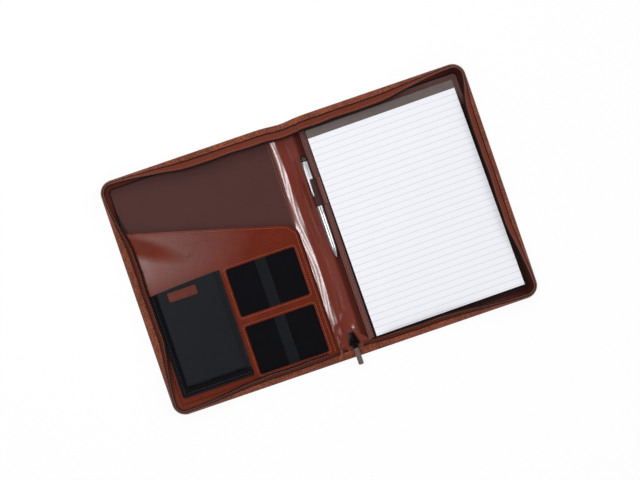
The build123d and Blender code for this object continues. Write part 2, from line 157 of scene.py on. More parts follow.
def sizes():
    return bpy.context.scene.padfolio_sizes


def colours():
    return bpy.context.scene.padfolio_colours


def smoothstep(t):
    """0 before 0, 1 after 1, and an even rise between."""
    t = min(1.0, max(0.0, t))
    return t * t * (3 - 2 * t)


def mix(low, high, t):
    return low + (high - low) * t


def bell(offset, width):
    """1 at no offset, and a soft fall to 0 past the width."""
    return math.exp(-((offset / width) ** 2))


def soft_least(a, b, blend):
    """The lesser of two lengths, with a soft change from one to the other."""
    return -blend * math.log(math.exp(-a / blend) + math.exp(-b / blend))


def deselect():
    if bpy.context.mode != "OBJECT":
        bpy.ops.object.mode_set(mode="OBJECT")
    bpy.ops.object.select_all(action="DESELECT")


def take(piece):
    """Makes one object the only selected and the active one."""
    deselect()
    piece.select_set(True)
    bpy.context.view_layer.objects.active = piece
    return piece


def added(name):
    """Names the primitive that was just added, and puts its place into its mesh."""
    piece = bpy.context.active_object
    piece.name = name
    piece.data.name = name
    bpy.ops.object.transform_apply(location=True, rotation=True, scale=True)
    return piece


def modify(piece, kind, **settings):
    """Adds one modifier and applies it."""
    take(piece)
    modifier = piece.modifiers.new(kind.title(), kind)
    for key, value in settings.items():
        setattr(modifier, key, value)
    bpy.ops.object.modifier_apply(modifier=modifier.name)
    return piece


def face_out(piece):
    """Merges doubles and turns every face outwards."""
    take(piece)
    bpy.ops.object.mode_set(mode="EDIT")
    bpy.ops.mesh.select_all(action="SELECT")
    bpy.ops.mesh.remove_doubles(threshold=0.002 * MM)
    bpy.ops.mesh.normals_make_consistent(inside=False)
    bpy.ops.object.mode_set(mode="OBJECT")
    return piece


def smooth(piece, angle=40):
    take(piece)
    bpy.ops.object.shade_smooth_by_angle(angle=math.radians(angle))
    return piece


def rounded(piece, width, segments=3, angle=40):
    """Rounds the sharp edges of a closed shell and shades it smooth."""
    modify(
        piece, "BEVEL", width=width, segments=segments, limit_method="ANGLE",
        angle_limit=math.radians(angle), harden_normals=False, use_clamp_overlap=True,
    )
    return smooth(piece, 50)


def thicken(piece, thickness, material_offset=0):
    """Gives a sheet its thickness, on the side away from its normals."""
    modify(
        piece, "SOLIDIFY", thickness=thickness, offset=-1, use_even_offset=True,
        material_offset=material_offset, material_offset_rim=0,
    )
    return face_out(piece)


def pick(piece, kind, test):
    """Goes into edit mode with only those corners, edges or faces selected that pass the test."""
    take(piece)
    bpy.ops.object.mode_set(mode="EDIT")
    bpy.ops.mesh.select_mode(type=kind)
    bpy.ops.mesh.select_all(action="DESELECT")
    bpy.ops.object.mode_set(mode="OBJECT")
    mesh = piece.data
    for part in {"VERT": mesh.vertices, "EDGE": mesh.edges, "FACE": mesh.polygons}[kind]:
        part.select = test(part)
    bpy.ops.object.mode_set(mode="EDIT")


def laid_grid(name, columns, rows, place, uv_size):
    """A grid whose points go where place(u, v) says, with u and v from 0 to 1, and UVs in metres."""
    deselect()
    bpy.ops.mesh.primitive_grid_add(x_subdivisions=columns, y_subdivisions=rows, size=2)
    piece = added(name)
    for vertex in piece.data.vertices:
        vertex.co = place((vertex.co.x + 1) / 2, (vertex.co.y + 1) / 2)
    for corner in piece.data.uv_layers.active.data:
        corner.uv = (corner.uv.x * uv_size[0], corner.uv.y * uv_size[1])
    return piece


def skin(name, columns, rows, place, uv_size, thickness, look):
    """A laid grid of one finish, with its thickness below it."""
    piece = laid_grid(name, columns, rows, place, uv_size)
    piece.data.materials.append(look)
    thicken(piece, thickness)
    return smooth(piece, 50)


def block(name, low, high):
    """A box from its lowest to its highest corner."""
    low, high = Vector(low), Vector(high)
    deselect()
    bpy.ops.mesh.primitive_cube_add(size=1, location=(low + high) / 2, scale=high - low)
    return added(name)


def turned(name, start, axis, profile, segments=32):
    """A body of revolution: rings of (distance along axis, radius), spun about the axis from start."""
    deselect()
    bpy.ops.mesh.primitive_circle_add(vertices=segments, radius=1, fill_type="NOTHING")
    piece = added(name)
    turn = Vector(axis).to_track_quat("Z", "Y").to_matrix()
    bpy.ops.object.mode_set(mode="EDIT")
    bpy.ops.mesh.select_all(action="SELECT")
    for _ in profile[1:]:
        bpy.ops.mesh.extrude_region_move(TRANSFORM_OT_translate={"value": (0, 0, 1)})
    bpy.ops.object.mode_set(mode="OBJECT")
    for vertex in piece.data.vertices:
        along, radius = profile[round(vertex.co.z)]
        vertex.co = Vector(start) + turn @ Vector((vertex.co.x * radius, vertex.co.y * radius, along))
    take(piece)
    bpy.ops.object.mode_set(mode="EDIT")
    bpy.ops.mesh.select_mode(type="EDGE")
    bpy.ops.mesh.select_all(action="DESELECT")
    bpy.ops.mesh.select_non_manifold(extend=False)
    bpy.ops.mesh.edge_face_add()
    bpy.ops.object.mode_set(mode="OBJECT")
    return face_out(piece)


def joined(name, pieces):
    """Joins several objects into the first one."""
    take(pieces[0])
    for piece in pieces[1:]:
        piece.select_set(True)
    bpy.ops.object.join()
    pieces[0].name = name
    pieces[0].data.name = name
    return pieces[0]


def seat(origin, along, up):
    """The matrix that lays a small model's X along a path and its Z up from the surface."""
    along = Vector(along).normalized()
    side = Vector(up).cross(along).normalized()
    up = along.cross(side)
    turn = Matrix((along, side, up)).transposed().to_4x4()
    return Matrix.Translation(origin) @ turn


def bead(name, size, segments=8, rings=5):
    """A small rounded model, size long, wide and high, of a few dozen faces: a stitch or a tooth."""
    deselect()
    bpy.ops.mesh.primitive_uv_sphere_add(
        segments=segments, ring_count=rings, radius=0.5, rotation=(0, math.pi / 2, 0)
    )
    piece = added(name)
    for vertex in piece.data.vertices:
        x, y, z = vertex.co
        vertex.co = (math.copysign(abs(2 * x) ** 0.6, x) / 2 * size[0], y * size[1], z * size[2])
    return piece


def laid_out(name, model, places):
    """Copies of one small model, each at its own place, in one mesh."""
    points = [vertex.co.copy() for vertex in model.data.vertices]
    faces = [tuple(face.vertices) for face in model.data.polygons]
    mesh = bpy.data.meshes.new(name)
    mesh.from_pydata(
        [place @ point for place in places for point in points],
        [],
        [tuple(i + k * len(points) for i in face) for k in range(len(places)) for face in faces],
    )
    piece = bpy.data.objects.new(name, mesh)
    bpy.context.scene.collection.objects.link(piece)
    bpy.data.objects.remove(model)
    return smooth(piece, 60)


def along_path(points, pitch, lead=0.5):
    """(place, direction) every pitch along a line of points, evened out over its length."""
    points = [Vector(p) for p in points]
    runs = [(b - a).length for a, b in zip(points, points[1:])]
    total = sum(runs)
    count = max(1, round(total / pitch))
    found = []
    k, passed = 0, 0.0
    for i in range(count):
        want = (i + lead) * total / count
        while k < len(runs) - 1 and passed + runs[k] < want:
            passed += runs[k]
            k += 1
        step = points[k + 1] - points[k]
        found.append((points[k] + step * ((want - passed) / max(runs[k], 1e-9)), step.normalized()))
    return found


def stitch_row(name, points, look, width=0.75 * MM, height=0.5 * MM):
    """A row of stitches that follows a line of points on a level surface, half sunk in it."""
    model = bead(name + "_model", (sizes().stitch_length, width, height))
    spots = along_path(points, sizes().stitch_pitch)
    piece = laid_out(name, model, [seat(spot, way, (0, 0, 1)) for spot, way in spots])
    piece.data.materials.append(look)
    return piece


def rounded_box(left, right, lower, upper, z, radius, steps=6):
    """A closed level line of points round a rectangle, with rounded corners."""
    outline = (left, lower, z), (right, lower, z), (right, upper, z), (left, upper, z)
    corners = [Vector(corner) for corner in outline]
    points = []
    for i, corner in enumerate(corners):
        before = (corners[i - 1] - corner).normalized()
        after = (corners[(i + 1) % len(corners)] - corner).normalized()
        start, end = corner + before * radius, corner + after * radius
        for k in range(steps + 1):
            t = k / steps
            points.append(start * (1 - t) ** 2 + corner * (2 * t * (1 - t)) + end * t ** 2)
    return points + points[:1]


def tube(name, points, radius, closed=False):
    """A round bar that follows a line of points, made from a bevelled curve."""
    curve = bpy.data.curves.new(name, "CURVE")
    curve.dimensions = "3D"
    curve.bevel_depth = radius
    curve.bevel_resolution = 2
    curve.use_fill_caps = True
    line = curve.splines.new("NURBS")
    line.points.add(len(points) - 1)
    for spot, point in zip(line.points, points):
        spot.co = (*point, 1.0)
    line.use_cyclic_u = closed
    line.use_endpoint_u = not closed
    line.order_u = 3
    line.resolution_u = 4
    piece = bpy.data.objects.new(name, curve)
    bpy.context.scene.collection.objects.link(piece)
    take(piece)
    bpy.ops.object.convert(target="MESH")
    piece = bpy.context.active_object
    piece.data.name = name
    return smooth(face_out(piece), 50)


class Value:
    """One output of a material's nodes. Values add, subtract, multiply and divide like numbers."""

    def __init__(self, look, socket):
        self.look = look
        self.socket = socket

    def math(self, operation, *inputs):
        return self.look.node("ShaderNodeMath", {"operation": operation}, inputs)

    def __add__(self, other):
        return self.math("ADD", self, other)

    def __radd__(self, other):
        return self.math("ADD", other, self)

    def __sub__(self, other):
        return self.math("SUBTRACT", self, other)

    def __rsub__(self, other):
        return self.math("SUBTRACT", other, self)

    def __mul__(self, other):
        return self.math("MULTIPLY", self, other)

    def __rmul__(self, other):
        return self.math("MULTIPLY", other, self)

    def __truediv__(self, other):
        return self.math("DIVIDE", self, other)

    def __gt__(self, other):
        return self.math("GREATER_THAN", self, other)

    def __lt__(self, other):
        return self.math("LESS_THAN", self, other)

    def sine(self):
        return self.math("SINE", self)

    def size(self):
        return self.math("ABSOLUTE", self)

    def part(self):
        return self.math("FRACT", self)

    def clamped(self):
        return self.look.node("ShaderNodeClamp", {}, (self, 0.0, 1.0))


class Finish:
    """One material: its nodes and the shader that they feed."""

    def __init__(self, name):
        self.material = bpy.data.materials.new(name)
        self.material.use_nodes = True
        self.tree = self.material.node_tree
        self.shader = next(n for n in self.tree.nodes if n.type == "BSDF_PRINCIPLED")

    def node(self, kind, settings, inputs, output=0):
        """Any node: its type, its settings, and the values or links of its sockets."""
        node = self.tree.nodes.new(kind)
        for key, value in settings.items():
            setattr(node, key, value)
        pairs = inputs.items() if isinstance(inputs, dict) else enumerate(inputs)
        for key, value in pairs:
            self.feed(node.inputs[key], value)
        return Value(self, node.outputs[output])

    def feed(self, socket, value):
        if isinstance(value, Value):
            self.tree.links.new(value.socket, socket)
        else:
            socket.default_value = value

    def shade(self, **inputs):
        """Feeds the shader. Base_Color stands for the socket named Base Color."""
        for key, value in inputs.items():
            self.feed(self.shader.inputs[key.replace("_", " ")], value)
        return self.material

    def place(self, kind="Object"):
        return self.node("ShaderNodeTexCoord", {}, {}, kind)

    def axis(self, vector, name):
        return self.node("ShaderNodeSeparateXYZ", {}, [vector], name)

    def noise(self, place, scale, detail=3.0, roughness=0.55):
        inputs = {"Vector": place, "Scale": scale, "Detail": detail, "Roughness": roughness}
        return self.node("ShaderNodeTexNoise", {}, inputs)

    def cells(self, place, scale, softness=0.5):
        inputs = {"Vector": place, "Scale": scale, "Smoothness": softness}
        return self.node("ShaderNodeTexVoronoi", {"feature": "SMOOTH_F1"}, inputs)

    def between(self, factor, low, high):
        """A colour from low to high."""
        inputs = {0: factor, 6: low, 7: high}
        return self.node("ShaderNodeMix", {"data_type": "RGBA"}, inputs, 2)

    def bump(self, height, depth):
        inputs = {"Height": height, "Distance": depth, "Strength": 1.0}
        return self.node("ShaderNodeBump", {}, inputs)

    def patch(self, place, x, y, reach_x, reach_y):
        """A soft round patch: 1 in its middle and 0 from its reach on."""
        across = (self.axis(place, "X") - x) / reach_x
        up = (self.axis(place, "Y") - y) / reach_y
        return (1.0 - across * across - up * up).clamped()

    def stripe(self, place, x, y, turn, length, width):
        """A soft stripe about a point: 1 in its middle and 0 from its length or width on."""
        over, up = self.axis(place, "X") - x, self.axis(place, "Y") - y
        along = (over * math.cos(turn) + up * math.sin(turn)) / length
        off = (up * math.cos(turn) - over * math.sin(turn)) / width
        return ((1.0 - along * along - off * off) * 1.3).clamped()

    def ribs(self, along, pitch):
        """Even waves of 0 to 1 along one coordinate."""
        return (along * (2 * math.pi / pitch)).sine() * 0.5 + 0.5


def tinted(tint, factor):
    """A colour made lighter or darker, with full alpha."""
    return (*[min(1.0, c * factor) for c in tint], 1.0)


def finish(name, make, *facts, **more):
    """The material of that name, made once."""
    return bpy.data.materials.get(name) or make(name, *facts, **more)


def leather(
    name, tint, grain, depth, roughness, coat=0.0, wear=0.3, specular=0.4,
    polish=None, crease=None, fold=None, coat_roughness=0.16,
):
    """Leather: pebbled grain, clouds of colour, dark pores, worn patches, a shiny place and a band of
    painted shade.

    polish is a shiny place: X, Y and how far it reaches along each. crease is a dull stripe across it:
    X, Y, turn, length and width. fold gives painted shade: an axis, where the leather starts and ends to
    darken along it, and the share of its colour that is left.
    """
    look = Finish(name)
    place = look.place()
    pebbles = look.cells(place, grain)
    pores = look.noise(place, grain * 2.2, 2.0)
    clouds = look.noise(place, 17.0, 4.0)
    patches = look.noise(place, 95.0, 3.0, 0.6)
    worn = (clouds - 0.5) * (2.2 * wear) + (patches - 0.5) * (1.6 * wear) + (0.4 - pebbles) * (1.3 * wear)
    worn = worn + (pores - 0.5) * (1.5 * wear)
    hide = look.between((worn + 0.5).clamped(), tinted(tint, 0.62), tinted(tint, 1.36))
    # Painted shade: fold darkens the colour along an axis, where the leather lies in shade.
    if fold:
        axis, start, end, share = fold
        sunk = (look.axis(place, axis) - start) / (end - start)
        hide = look.between(sunk.clamped(), hide, tinted(tint, share))
        coat = (1.0 - sunk.clamped()) * coat if coat else coat
    if polish:
        coat = look.patch(place, *polish) * (clouds * 1.2 + patches * 1.7 - 0.2).clamped()
    if crease:
        coat = coat * (1.0 - look.stripe(place, *crease))
    height = (1 - pebbles) * 0.7 + pores * 0.3
    return look.shade(
        Base_Color=hide,
        Roughness=(roughness + (patches - 0.5) * 0.22 + pebbles * 0.08).clamped(),
        Normal=look.bump(height, depth),
        Coat_Weight=coat,
        Coat_Roughness=coat_roughness,
        Specular_IOR_Level=specular,
    )


def woven(name, tint, pitch, depth, roughness, contrast, specular, soil=None):
    """Woven cloth: over and under threads, uneven dye, and painted shade towards two edges.

    The last argument gives the X and the Y below which painted shade darkens the cloth, and the length over
    which it does.
    """
    look = Finish(name)
    place = look.place()
    x, y, z = (look.axis(place, letter) for letter in "XYZ")
    warp = look.ribs(x + z, pitch)
    weft = look.ribs(y + z, pitch)
    under = warp * weft + (1 - warp) * (1 - weft)
    dye = look.noise(place, 40.0, 4.0)
    fuzz = look.noise(place, 1400.0, 2.0)
    factor = (under - 0.5) * contrast + (dye - 0.5) * (2 * contrast) + (fuzz - 0.5) * contrast + 0.5
    cloth = look.between(factor.clamped(), tinted(tint, 0.6), tinted(tint, 1.4))
    # Painted shade: the cloth darkens below an X and a Y, where the wall lies in shade.
    if soil:
        left, lower, reach = soil
        dark = ((left - x) / reach).clamped() + ((lower - y) / reach).clamped()
        cloth = look.between(dark.clamped(), cloth, tinted(tint, 0.5))
    return look.shade(
        Base_Color=cloth,
        Roughness=(roughness + (fuzz - 0.5) * 0.2).clamped(),
        Normal=look.bump(under * 0.8 + fuzz * 0.4, depth),
        Specular_IOR_Level=specular,
    )


def ribbed(name, tint, pitch, depth):
    """Elastic: raised ribs across a band, with loose fibres between."""
    look = Finish(name)
    place = look.place()
    ribs = look.ribs(look.axis(place, "X"), pitch)
    knit = look.ribs(look.axis(place, "Y"), pitch * 0.55)
    fibres = look.noise(place, 900.0, 3.0)
    factor = ribs * 0.5 + (fibres - 0.5) * 0.5 + knit * 0.2
    return look.shade(
        Base_Color=look.between(factor.clamped(), tinted(tint, 0.6), tinted(tint, 1.5)),
        Roughness=(0.72 + (fibres - 0.5) * 0.2).clamped(),
        Normal=look.bump(ribs + knit * 0.3 + fibres * 0.2, depth),
        Specular_IOR_Level=0.08,
    )


def twisted_thread(name, tint):
    """Sewing thread: slanted strands and a soft sheen."""
    look = Finish(name)
    place = look.place()
    x, y = (look.axis(place, letter) for letter in "XY")
    strands = look.ribs(x + y, 0.55 * MM)
    fluff = look.noise(place, 700.0, 3.0)
    factor = strands * 0.6 + (fluff - 0.5) * 0.6 + 0.2
    return look.shade(
        Base_Color=look.between(factor.clamped(), tinted(tint, 0.6), tinted(tint, 1.3)),
        Roughness=(0.6 + (fluff - 0.5) * 0.2).clamped(),
        Normal=look.bump(strands, 0.1 * MM),
        Specular_IOR_Level=0.3,
    )


def ruled_paper(name, tint, ink, first_line, pitch, slant):
    """A stack of pages: printed rules on the top sheet and thin sheet edges at the sides."""
    look = Finish(name)
    place = look.place()
    facing = look.axis(look.place("Normal"), "Z") > 0.7
    down = first_line + 0.5 * pitch - look.axis(place, "Y")
    row = (down + look.axis(place, "X") * slant) / pitch
    rule = ((row.part() - 0.5).size() < 0.26 * MM / pitch) * facing
    fibre = look.noise(place, 260.0, 4.0)
    sheets = look.ribs(look.axis(place, "Z") + look.noise(place, 30.0) * (0.15 * MM), 0.34 * MM)
    edge = (1 - facing) * (1 - sheets)
    sheet = look.between(edge * 0.4 + (fibre - 0.5) * 0.06, tinted(tint, 1.0), tinted(tint, 0.55))
    return look.shade(
        Base_Color=look.between(rule, sheet, tinted(ink, 1.0)),
        Roughness=(0.78 + (fibre - 0.5) * 0.1).clamped(),
        Normal=look.bump(fibre * 0.25 + edge, 0.08 * MM),
        Specular_IOR_Level=0.25,
    )


def binding_cloth(name, tint):
    """Coated binding tape: fine crosswise ribs, scuffed."""
    look = Finish(name)
    place = look.place()
    ribs = look.ribs(look.axis(place, "X"), 0.8 * MM)
    scuffs = look.noise(place, 120.0, 5.0, 0.65)
    return look.shade(
        Base_Color=look.between((scuffs + ribs * 0.15).clamped(), tinted(tint, 0.75), tinted(tint, 1.2)),
        Roughness=(0.5 + (scuffs - 0.5) * 0.3).clamped(),
        Normal=look.bump(ribs * 0.5 + scuffs, 0.06 * MM),
        Specular_IOR_Level=0.35,
    )


def polished_metal(name, tint, roughness, wear=0.12):
    """Plated metal: a bright skin with fine scratches along it and faint smears."""
    look = Finish(name)
    place = look.place()
    smears = look.noise(place, 130.0, 4.0)
    scratches = look.noise(place, 2600.0, 2.0)
    return look.shade(
        Base_Color=look.between(smears, tinted(tint, 1 - wear), tinted(tint, 1 + wear)),
        Metallic=1.0,
        Roughness=(roughness + (smears - 0.5) * wear + (scratches - 0.5) * wear * 0.6).clamped(),
        Normal=look.bump(scratches, 0.01 * MM),
    )


def moulded(name, tint, roughness, specular=0.5):
    """Moulded plastic: a faint orange peel and small scuffs."""
    look = Finish(name)
    place = look.place()
    peel = look.noise(place, 900.0, 2.0)
    scuffs = look.noise(place, 160.0, 5.0, 0.7)
    return look.shade(
        Base_Color=look.between(scuffs, tinted(tint, 0.8), tinted(tint, 1.25)),
        Roughness=(roughness + (scuffs - 0.5) * 0.25).clamped(),
        Normal=look.bump(peel, 0.02 * MM),
        Specular_IOR_Level=specular,
    )


def pressed_fibre(name, tint, scale):
    """Board or foam: a coarse, matt mass of fibres or bubbles."""
    look = Finish(name)
    place = look.place()
    specks = look.noise(place, scale, 5.0, 0.7)
    holes = look.cells(place, scale * 1.6)
    return look.shade(
        Base_Color=look.between(specks, tinted(tint, 0.75), tinted(tint, 1.2)),
        Roughness=(0.85 + (specks - 0.5) * 0.15).clamped(),
        Normal=look.bump(specks + holes * 0.5, 0.2 * MM),
        Specular_IOR_Level=0.2,
    )


def cover_leather():
    return finish(
        "Grained cover leather", leather, colours().cover, grain=330.0, depth=0.6 * MM,
        roughness=0.62, wear=1.15, specular=0.15,
    )


def shaded_wall_leather():
    # Painted shade: a copy of the wall leather that darkens towards the pad half's outer side, where the
    # wall lies in shade.
    return finish(
        "Shaded wall leather", leather, colours().tape, grain=900.0, depth=0.06 * MM, roughness=0.5,
        wear=0.2, specular=0.1, fold=("X", 200 * MM, 240 * MM, 0.4),
    )


def wall_leather():
    return finish(
        "Smooth wall leather", leather, colours().tape, grain=900.0, depth=0.06 * MM, roughness=0.5,
        wear=0.2, specular=0.1,
    )


def wall_shadow():
    # Painted shadow: near-black for the gap in the wall's seam and the right edge of the edge strip and
    # strap; the edge strip's stitches take it as dark thread.
    return finish("Sunk wall seam", moulded, colours().wall_gap, roughness=0.7, specular=0.05)


def tape_cloth():
    # Painted shade: the tape darkens towards the pocket half's outer side and towards the lower side, where
    # the wall lies in shade.
    return finish(
        "Zip tape cloth", woven, colours().tape, pitch=0.9 * MM, depth=0.1 * MM, roughness=0.5,
        contrast=0.12, specular=0.1, soil=(-238 * MM, -147 * MM, 5 * MM),
    )


def coil_plastic():
    return finish("Zip coil plastic", moulded, colours().coil, roughness=0.45, specular=0.12)


def pocket_leather():
    rubbed = (-178 * MM, 52 * MM, 98 * MM, 74 * MM)
    bent = (-238 * MM, 71 * MM, math.radians(-33), 78 * MM, 17 * MM)
    return finish(
        "Glossy pocket leather", leather, colours().pocket, grain=1100.0, depth=0.05 * MM,
        roughness=0.32, wear=0.32, specular=0.06, polish=rubbed, crease=bent, coat_roughness=0.28,
    )


def tab_leather():
    return finish(
        "Dark tab leather", leather, colours().tab, grain=1100.0, depth=0.05 * MM, roughness=0.5,
        wear=0.2, specular=0.15,
    )


def spine_gloss():
    return finish(
        "Glossy spine leather", leather, colours().spine, grain=1300.0, depth=0.03 * MM,
        roughness=0.45, coat=1.0, wear=0.25, specular=0.1,
    )


def spine_fold_leather():
    # Painted shade: the leather darkens in the valley between the crest and the pad's edge strip, beside
    # the pen.
    return finish(
        "Folded spine leather", leather, colours().spine, grain=1300.0, depth=0.03 * MM,
        roughness=0.45, coat=1.0, wear=0.25, specular=0.1, fold=("X", 9.5 * MM, 14 * MM, 0.4),
        coat_roughness=0.26,
    )


def lining_skin():
    return finish(
        "Smooth lining", leather, colours().lining, grain=1500.0, depth=0.04 * MM, roughness=0.55,
        wear=0.12, specular=0.12,
    )


def pad_lining_skin():
    return finish(
        "Smooth pad lining", leather, colours().pad_lining, grain=1500.0, depth=0.04 * MM,
        roughness=0.55, wear=0.12, specular=0.12,
    )


def sleeve_leather():
    # Painted shade: the sleeve darkens below its upper end, where it lies in the shade beside and below the
    # pages.
    return finish(
        "Sleeve leather", leather, colours().pad_lining, grain=900.0, depth=0.06 * MM,
        roughness=0.55, wear=0.15, specular=0.1, fold=("Y", 124 * MM, 108 * MM, 0.12),
    )


def strip_leather():
    return finish(
        "Dark strip leather", leather, colours().strip, grain=1000.0, depth=0.08 * MM,
        roughness=0.5, wear=0.2, specular=0.2,
    )


def loop_leather():
    return finish(
        "Pen loop leather", leather, colours().loop, grain=800.0, depth=0.12 * MM, roughness=0.5,
        wear=0.5, specular=0.2,
    )


def seam_thread():
    return finish("Light seam thread", twisted_thread, colours().thread)


def wall_thread():
    return finish("Dark wall thread", twisted_thread, colours().dark_thread)


def pouch_cloth():
    return finish(
        "Black pouch cloth", leather, colours().pouch, grain=1300.0, depth=0.05 * MM, roughness=0.5,
        wear=0.16, specular=0.08,
    )


def pouch_side_shade():
    # Painted shade: the near-black of the pouch's steep left and lower sides.
    return finish("Black pouch edge", moulded, colours().window, roughness=0.75, specular=0.06)


def pouch_thread():
    return finish("Grey pouch thread", twisted_thread, colours().pouch_thread)


def window_cloth():
    return finish(
        "Black window cloth", woven, colours().window, pitch=0.8 * MM, depth=0.1 * MM,
        roughness=0.85, contrast=0.3, specular=0.05,
    )


def elastic_band():
    return finish("Ribbed elastic", ribbed, colours().elastic, pitch=1.3 * MM, depth=0.2 * MM)


def pen_chrome():
    return finish("Pen chrome", polished_metal, colours().metal, roughness=0.3)


def slider_metal():
    return finish("Dark slider metal", polished_metal, colours().slider, roughness=0.3)


def pen_black():
    return finish("Black pen cap", moulded, colours().pen_cap, roughness=0.28)


def pull_leather():
    return finish(
        "Pull tab leather", leather, colours().pull, grain=900.0, depth=0.12 * MM, roughness=0.6,
        wear=0.25,
    )


def case_reach():
    """Half the open case's width and height, to the edge of the cover leather."""
    high = node_box("back_cover_leather")[1]
    return high.x, high.y


def band_runs():
    """Lengths of the zip wall's straight run along the top, of a corner, and of the outer side."""
    half_x, half_y = case_reach()
    radius = sizes().corner_radius
    return half_x - radius, math.pi * radius / 2, 2 * (half_y - radius)


def band_length():
    """Length of one half's zip wall, from the spine's upper end round to its lower end."""
    top, bend, side = band_runs()
    return 2 * (top + bend) + side


def spine_dip(x):
    """How far the upper edge is drawn in at the spine, where the leather folds."""
    return 2.2 * MM * bell(x, 19 * MM)


def edge_point(s):
    """A point of the case's edge and the way inwards, s from the spine's upper end to its lower end."""
    half_x, half_y = case_reach()
    radius = sizes().corner_radius
    top, bend, side = band_runs()
    if s <= top:
        return Vector((s, half_y - spine_dip(s))), Vector((0, -1))
    if s <= top + bend:
        turn = (s - top) / radius
        way = Vector((-math.sin(turn), -math.cos(turn)))
        return Vector((top, half_y - radius)) - way * radius, way
    if s <= top + bend + side:
        return Vector((half_x, half_y - radius - (s - top - bend))), Vector((-1, 0))
    if s <= top + 2 * bend + side:
        turn = (s - top - bend - side) / radius
        way = Vector((-math.cos(turn), math.sin(turn)))
        return Vector((top, radius - half_y)) - way * radius, way
    return Vector((band_length() - s, -half_y)), Vector((0, 1))


def lean(half, s):
    """0 round the corners, where the wall is steep, and 1 along the sides, where it leans in.

    It comes to lean in half the run below the pad half's upper corner.
    """
    top, bend, side = band_runs()
    corners = ((top, top + bend), (top + bend + side, top + 2 * bend + side))
    gap = min(max(a - s, s - b, 0.0) for a, b in corners)
    upright = top < s < top + 2 * bend + side
    run = sizes().side_lean_run if upright else sizes().lean_run
    if upright and half > 0 and s < top + bend + side / 2:
        run *= 0.5
    return smoothstep(gap / run)


def crease(half, s):
    """Depth of the fold in the right half's wall, where it bends into the spine."""
    return 1.3 * MM * bell(s - 19.5 * MM, 1.3 * MM) if half > 0 else 0.0


def side_inset(half, s):
    """How far the rim leans in at the middle of the side that s lies on."""
    top, bend, side = band_runs()
    if s < top + bend / 2:
        return sizes().upper_rim_inset
    if s > top + 1.5 * bend + side:
        return sizes().lower_rim_inset
    return sizes().rim_inset - (sizes().pad_rim_gain if half > 0 else 0.0)


def funnel(s):
    """0 along the case, and up to 1 where the wall runs up to the slider."""
    return smoothstep((27 * MM - band_length() + s) / (22 * MM))


def seam_power(half, s):
    """Below 1 where the leather takes more of the wall, and above 1 where it narrows up to the slider."""
    top, bend, side = band_runs()
    corner = top + bend + side
    lower = smoothstep((s - corner - bend / 2) / (60 * MM))
    outer = smoothstep((s - top - bend) / (40 * MM)) * smoothstep((corner - s) / (40 * MM))
    outer_gain = 0.42 if half < 0 else 0.0
    return 1 - 0.3 * lower - outer_gain * outer + 0.95 * funnel(s)


def wall_profile(half, s, t):
    """Distance inwards and height of the zip wall, t from 0 at its foot to 1 at its rim."""
    foot_in, foot_z = 0.5 * MM, 1.35 * MM
    left = band_length() - s
    t **= seam_power(half, s)
    flat = smoothstep((64 * MM - left) / (60 * MM))
    wave = 0.4 * MM * math.sin(s * 57) + 0.3 * MM * math.sin(s * 131 + 1.3)
    rim_in = mix(sizes().corner_rim_inset, side_inset(half, s) + wave, lean(half, s)) + 17 * MM * funnel(s)
    rim_z = node_box("back_zip_coil")[1].z - 1.0 * MM - 0.5 * MM * (1 + math.sin(s * 43)) / 2
    rim_z = mix(rim_z, 3.0 * MM, flat)
    belly = 1.3 - 0.3 * flat
    return mix(foot_in, rim_in, t ** belly), mix(foot_z, rim_z, t ** (1 - 0.65 * flat))


def wall_point(half, s, t, depth=0.0):
    """A point of the wall, depth below its outer face, and the face's direction there."""
    edge, inwards = edge_point(s)
    near, high = wall_profile(half, s, t)
    near_b, high_b = wall_profile(half, s, t + 0.01)
    rise = Vector((near_b - near, high_b - high)).normalized()
    depth += crease(half, s)
    near += rise.y * depth
    high -= rise.x * depth
    flat = edge + inwards * near
    out = Vector((-inwards.x * rise.y * half, -inwards.y * rise.y, rise.x))
    return Vector((flat.x * half, flat.y, high)), out


def band_grid(name, half, ends, rows, point, looks, thickness):
    """A strip along the zip wall, from point(s, v) with v from 0 at its outer to 1 at its inner edge."""
    run = ends[1] - ends[0]

    def place(u, v):
        return point(mix(ends[1], ends[0], u) if half > 0 else mix(ends[0], ends[1], u), v)

    piece = laid_grid(name, round(run / (2.5 * MM)), rows, place, (run, 22 * MM))
    for look in looks:
        piece.data.materials.append(look)
    thicken(piece, thickness, len(looks) - 1)
    return smooth(piece, 50)


def wall_strip(name, half, ends, levels, looks, depth, thickness):
    """One strip of the wall between two shares of its height, depth below its outer face."""
    def point(s, v):
        return wall_point(half, s, mix(*levels, v), depth)[0]

    return band_grid(name, half, ends, 8, point, looks, thickness)


def wall_row(name, half, ends, model, look, level, depth, pitch, across=False):
    """A row of stitches or teeth along the wall at one share of its height, lengthwise or across."""
    run = ends[1] - ends[0]
    count = max(2, round(run / pitch))
    places = []
    for i in range(count):
        s = ends[0] + (i + 0.5) * run / count
        spot, out = wall_point(half, s, level, depth)
        ahead = (s, level + 0.01) if across else (s + 0.5 * MM, level)
        way = wall_point(half, *ahead, depth)[0] - spot
        places.append(seat(spot, way, out))
    piece = laid_out(name, model, places)
    piece.data.materials.append(look)
    return piece


def side_label(half):
    """The word for one half of the case that its body and its nodes start with."""
    return "back" if half > 0 else "front"


def keep(piece, node, body):
    """Lets a piece stand for a CAD node and ride on a body."""
    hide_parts(node)
    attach(piece, body)


def bend_into_spine(piece, half, nodes, outer, inner):
    """Hides the CAD nodes that a piece of one half stands for, and bakes its place into its mesh. outer and
    inner are not used.
    """
    if nodes:
        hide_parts(*nodes)
    body = f"{side_label(half)}_half"
    half * outer
    half * inner
    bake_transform(piece)


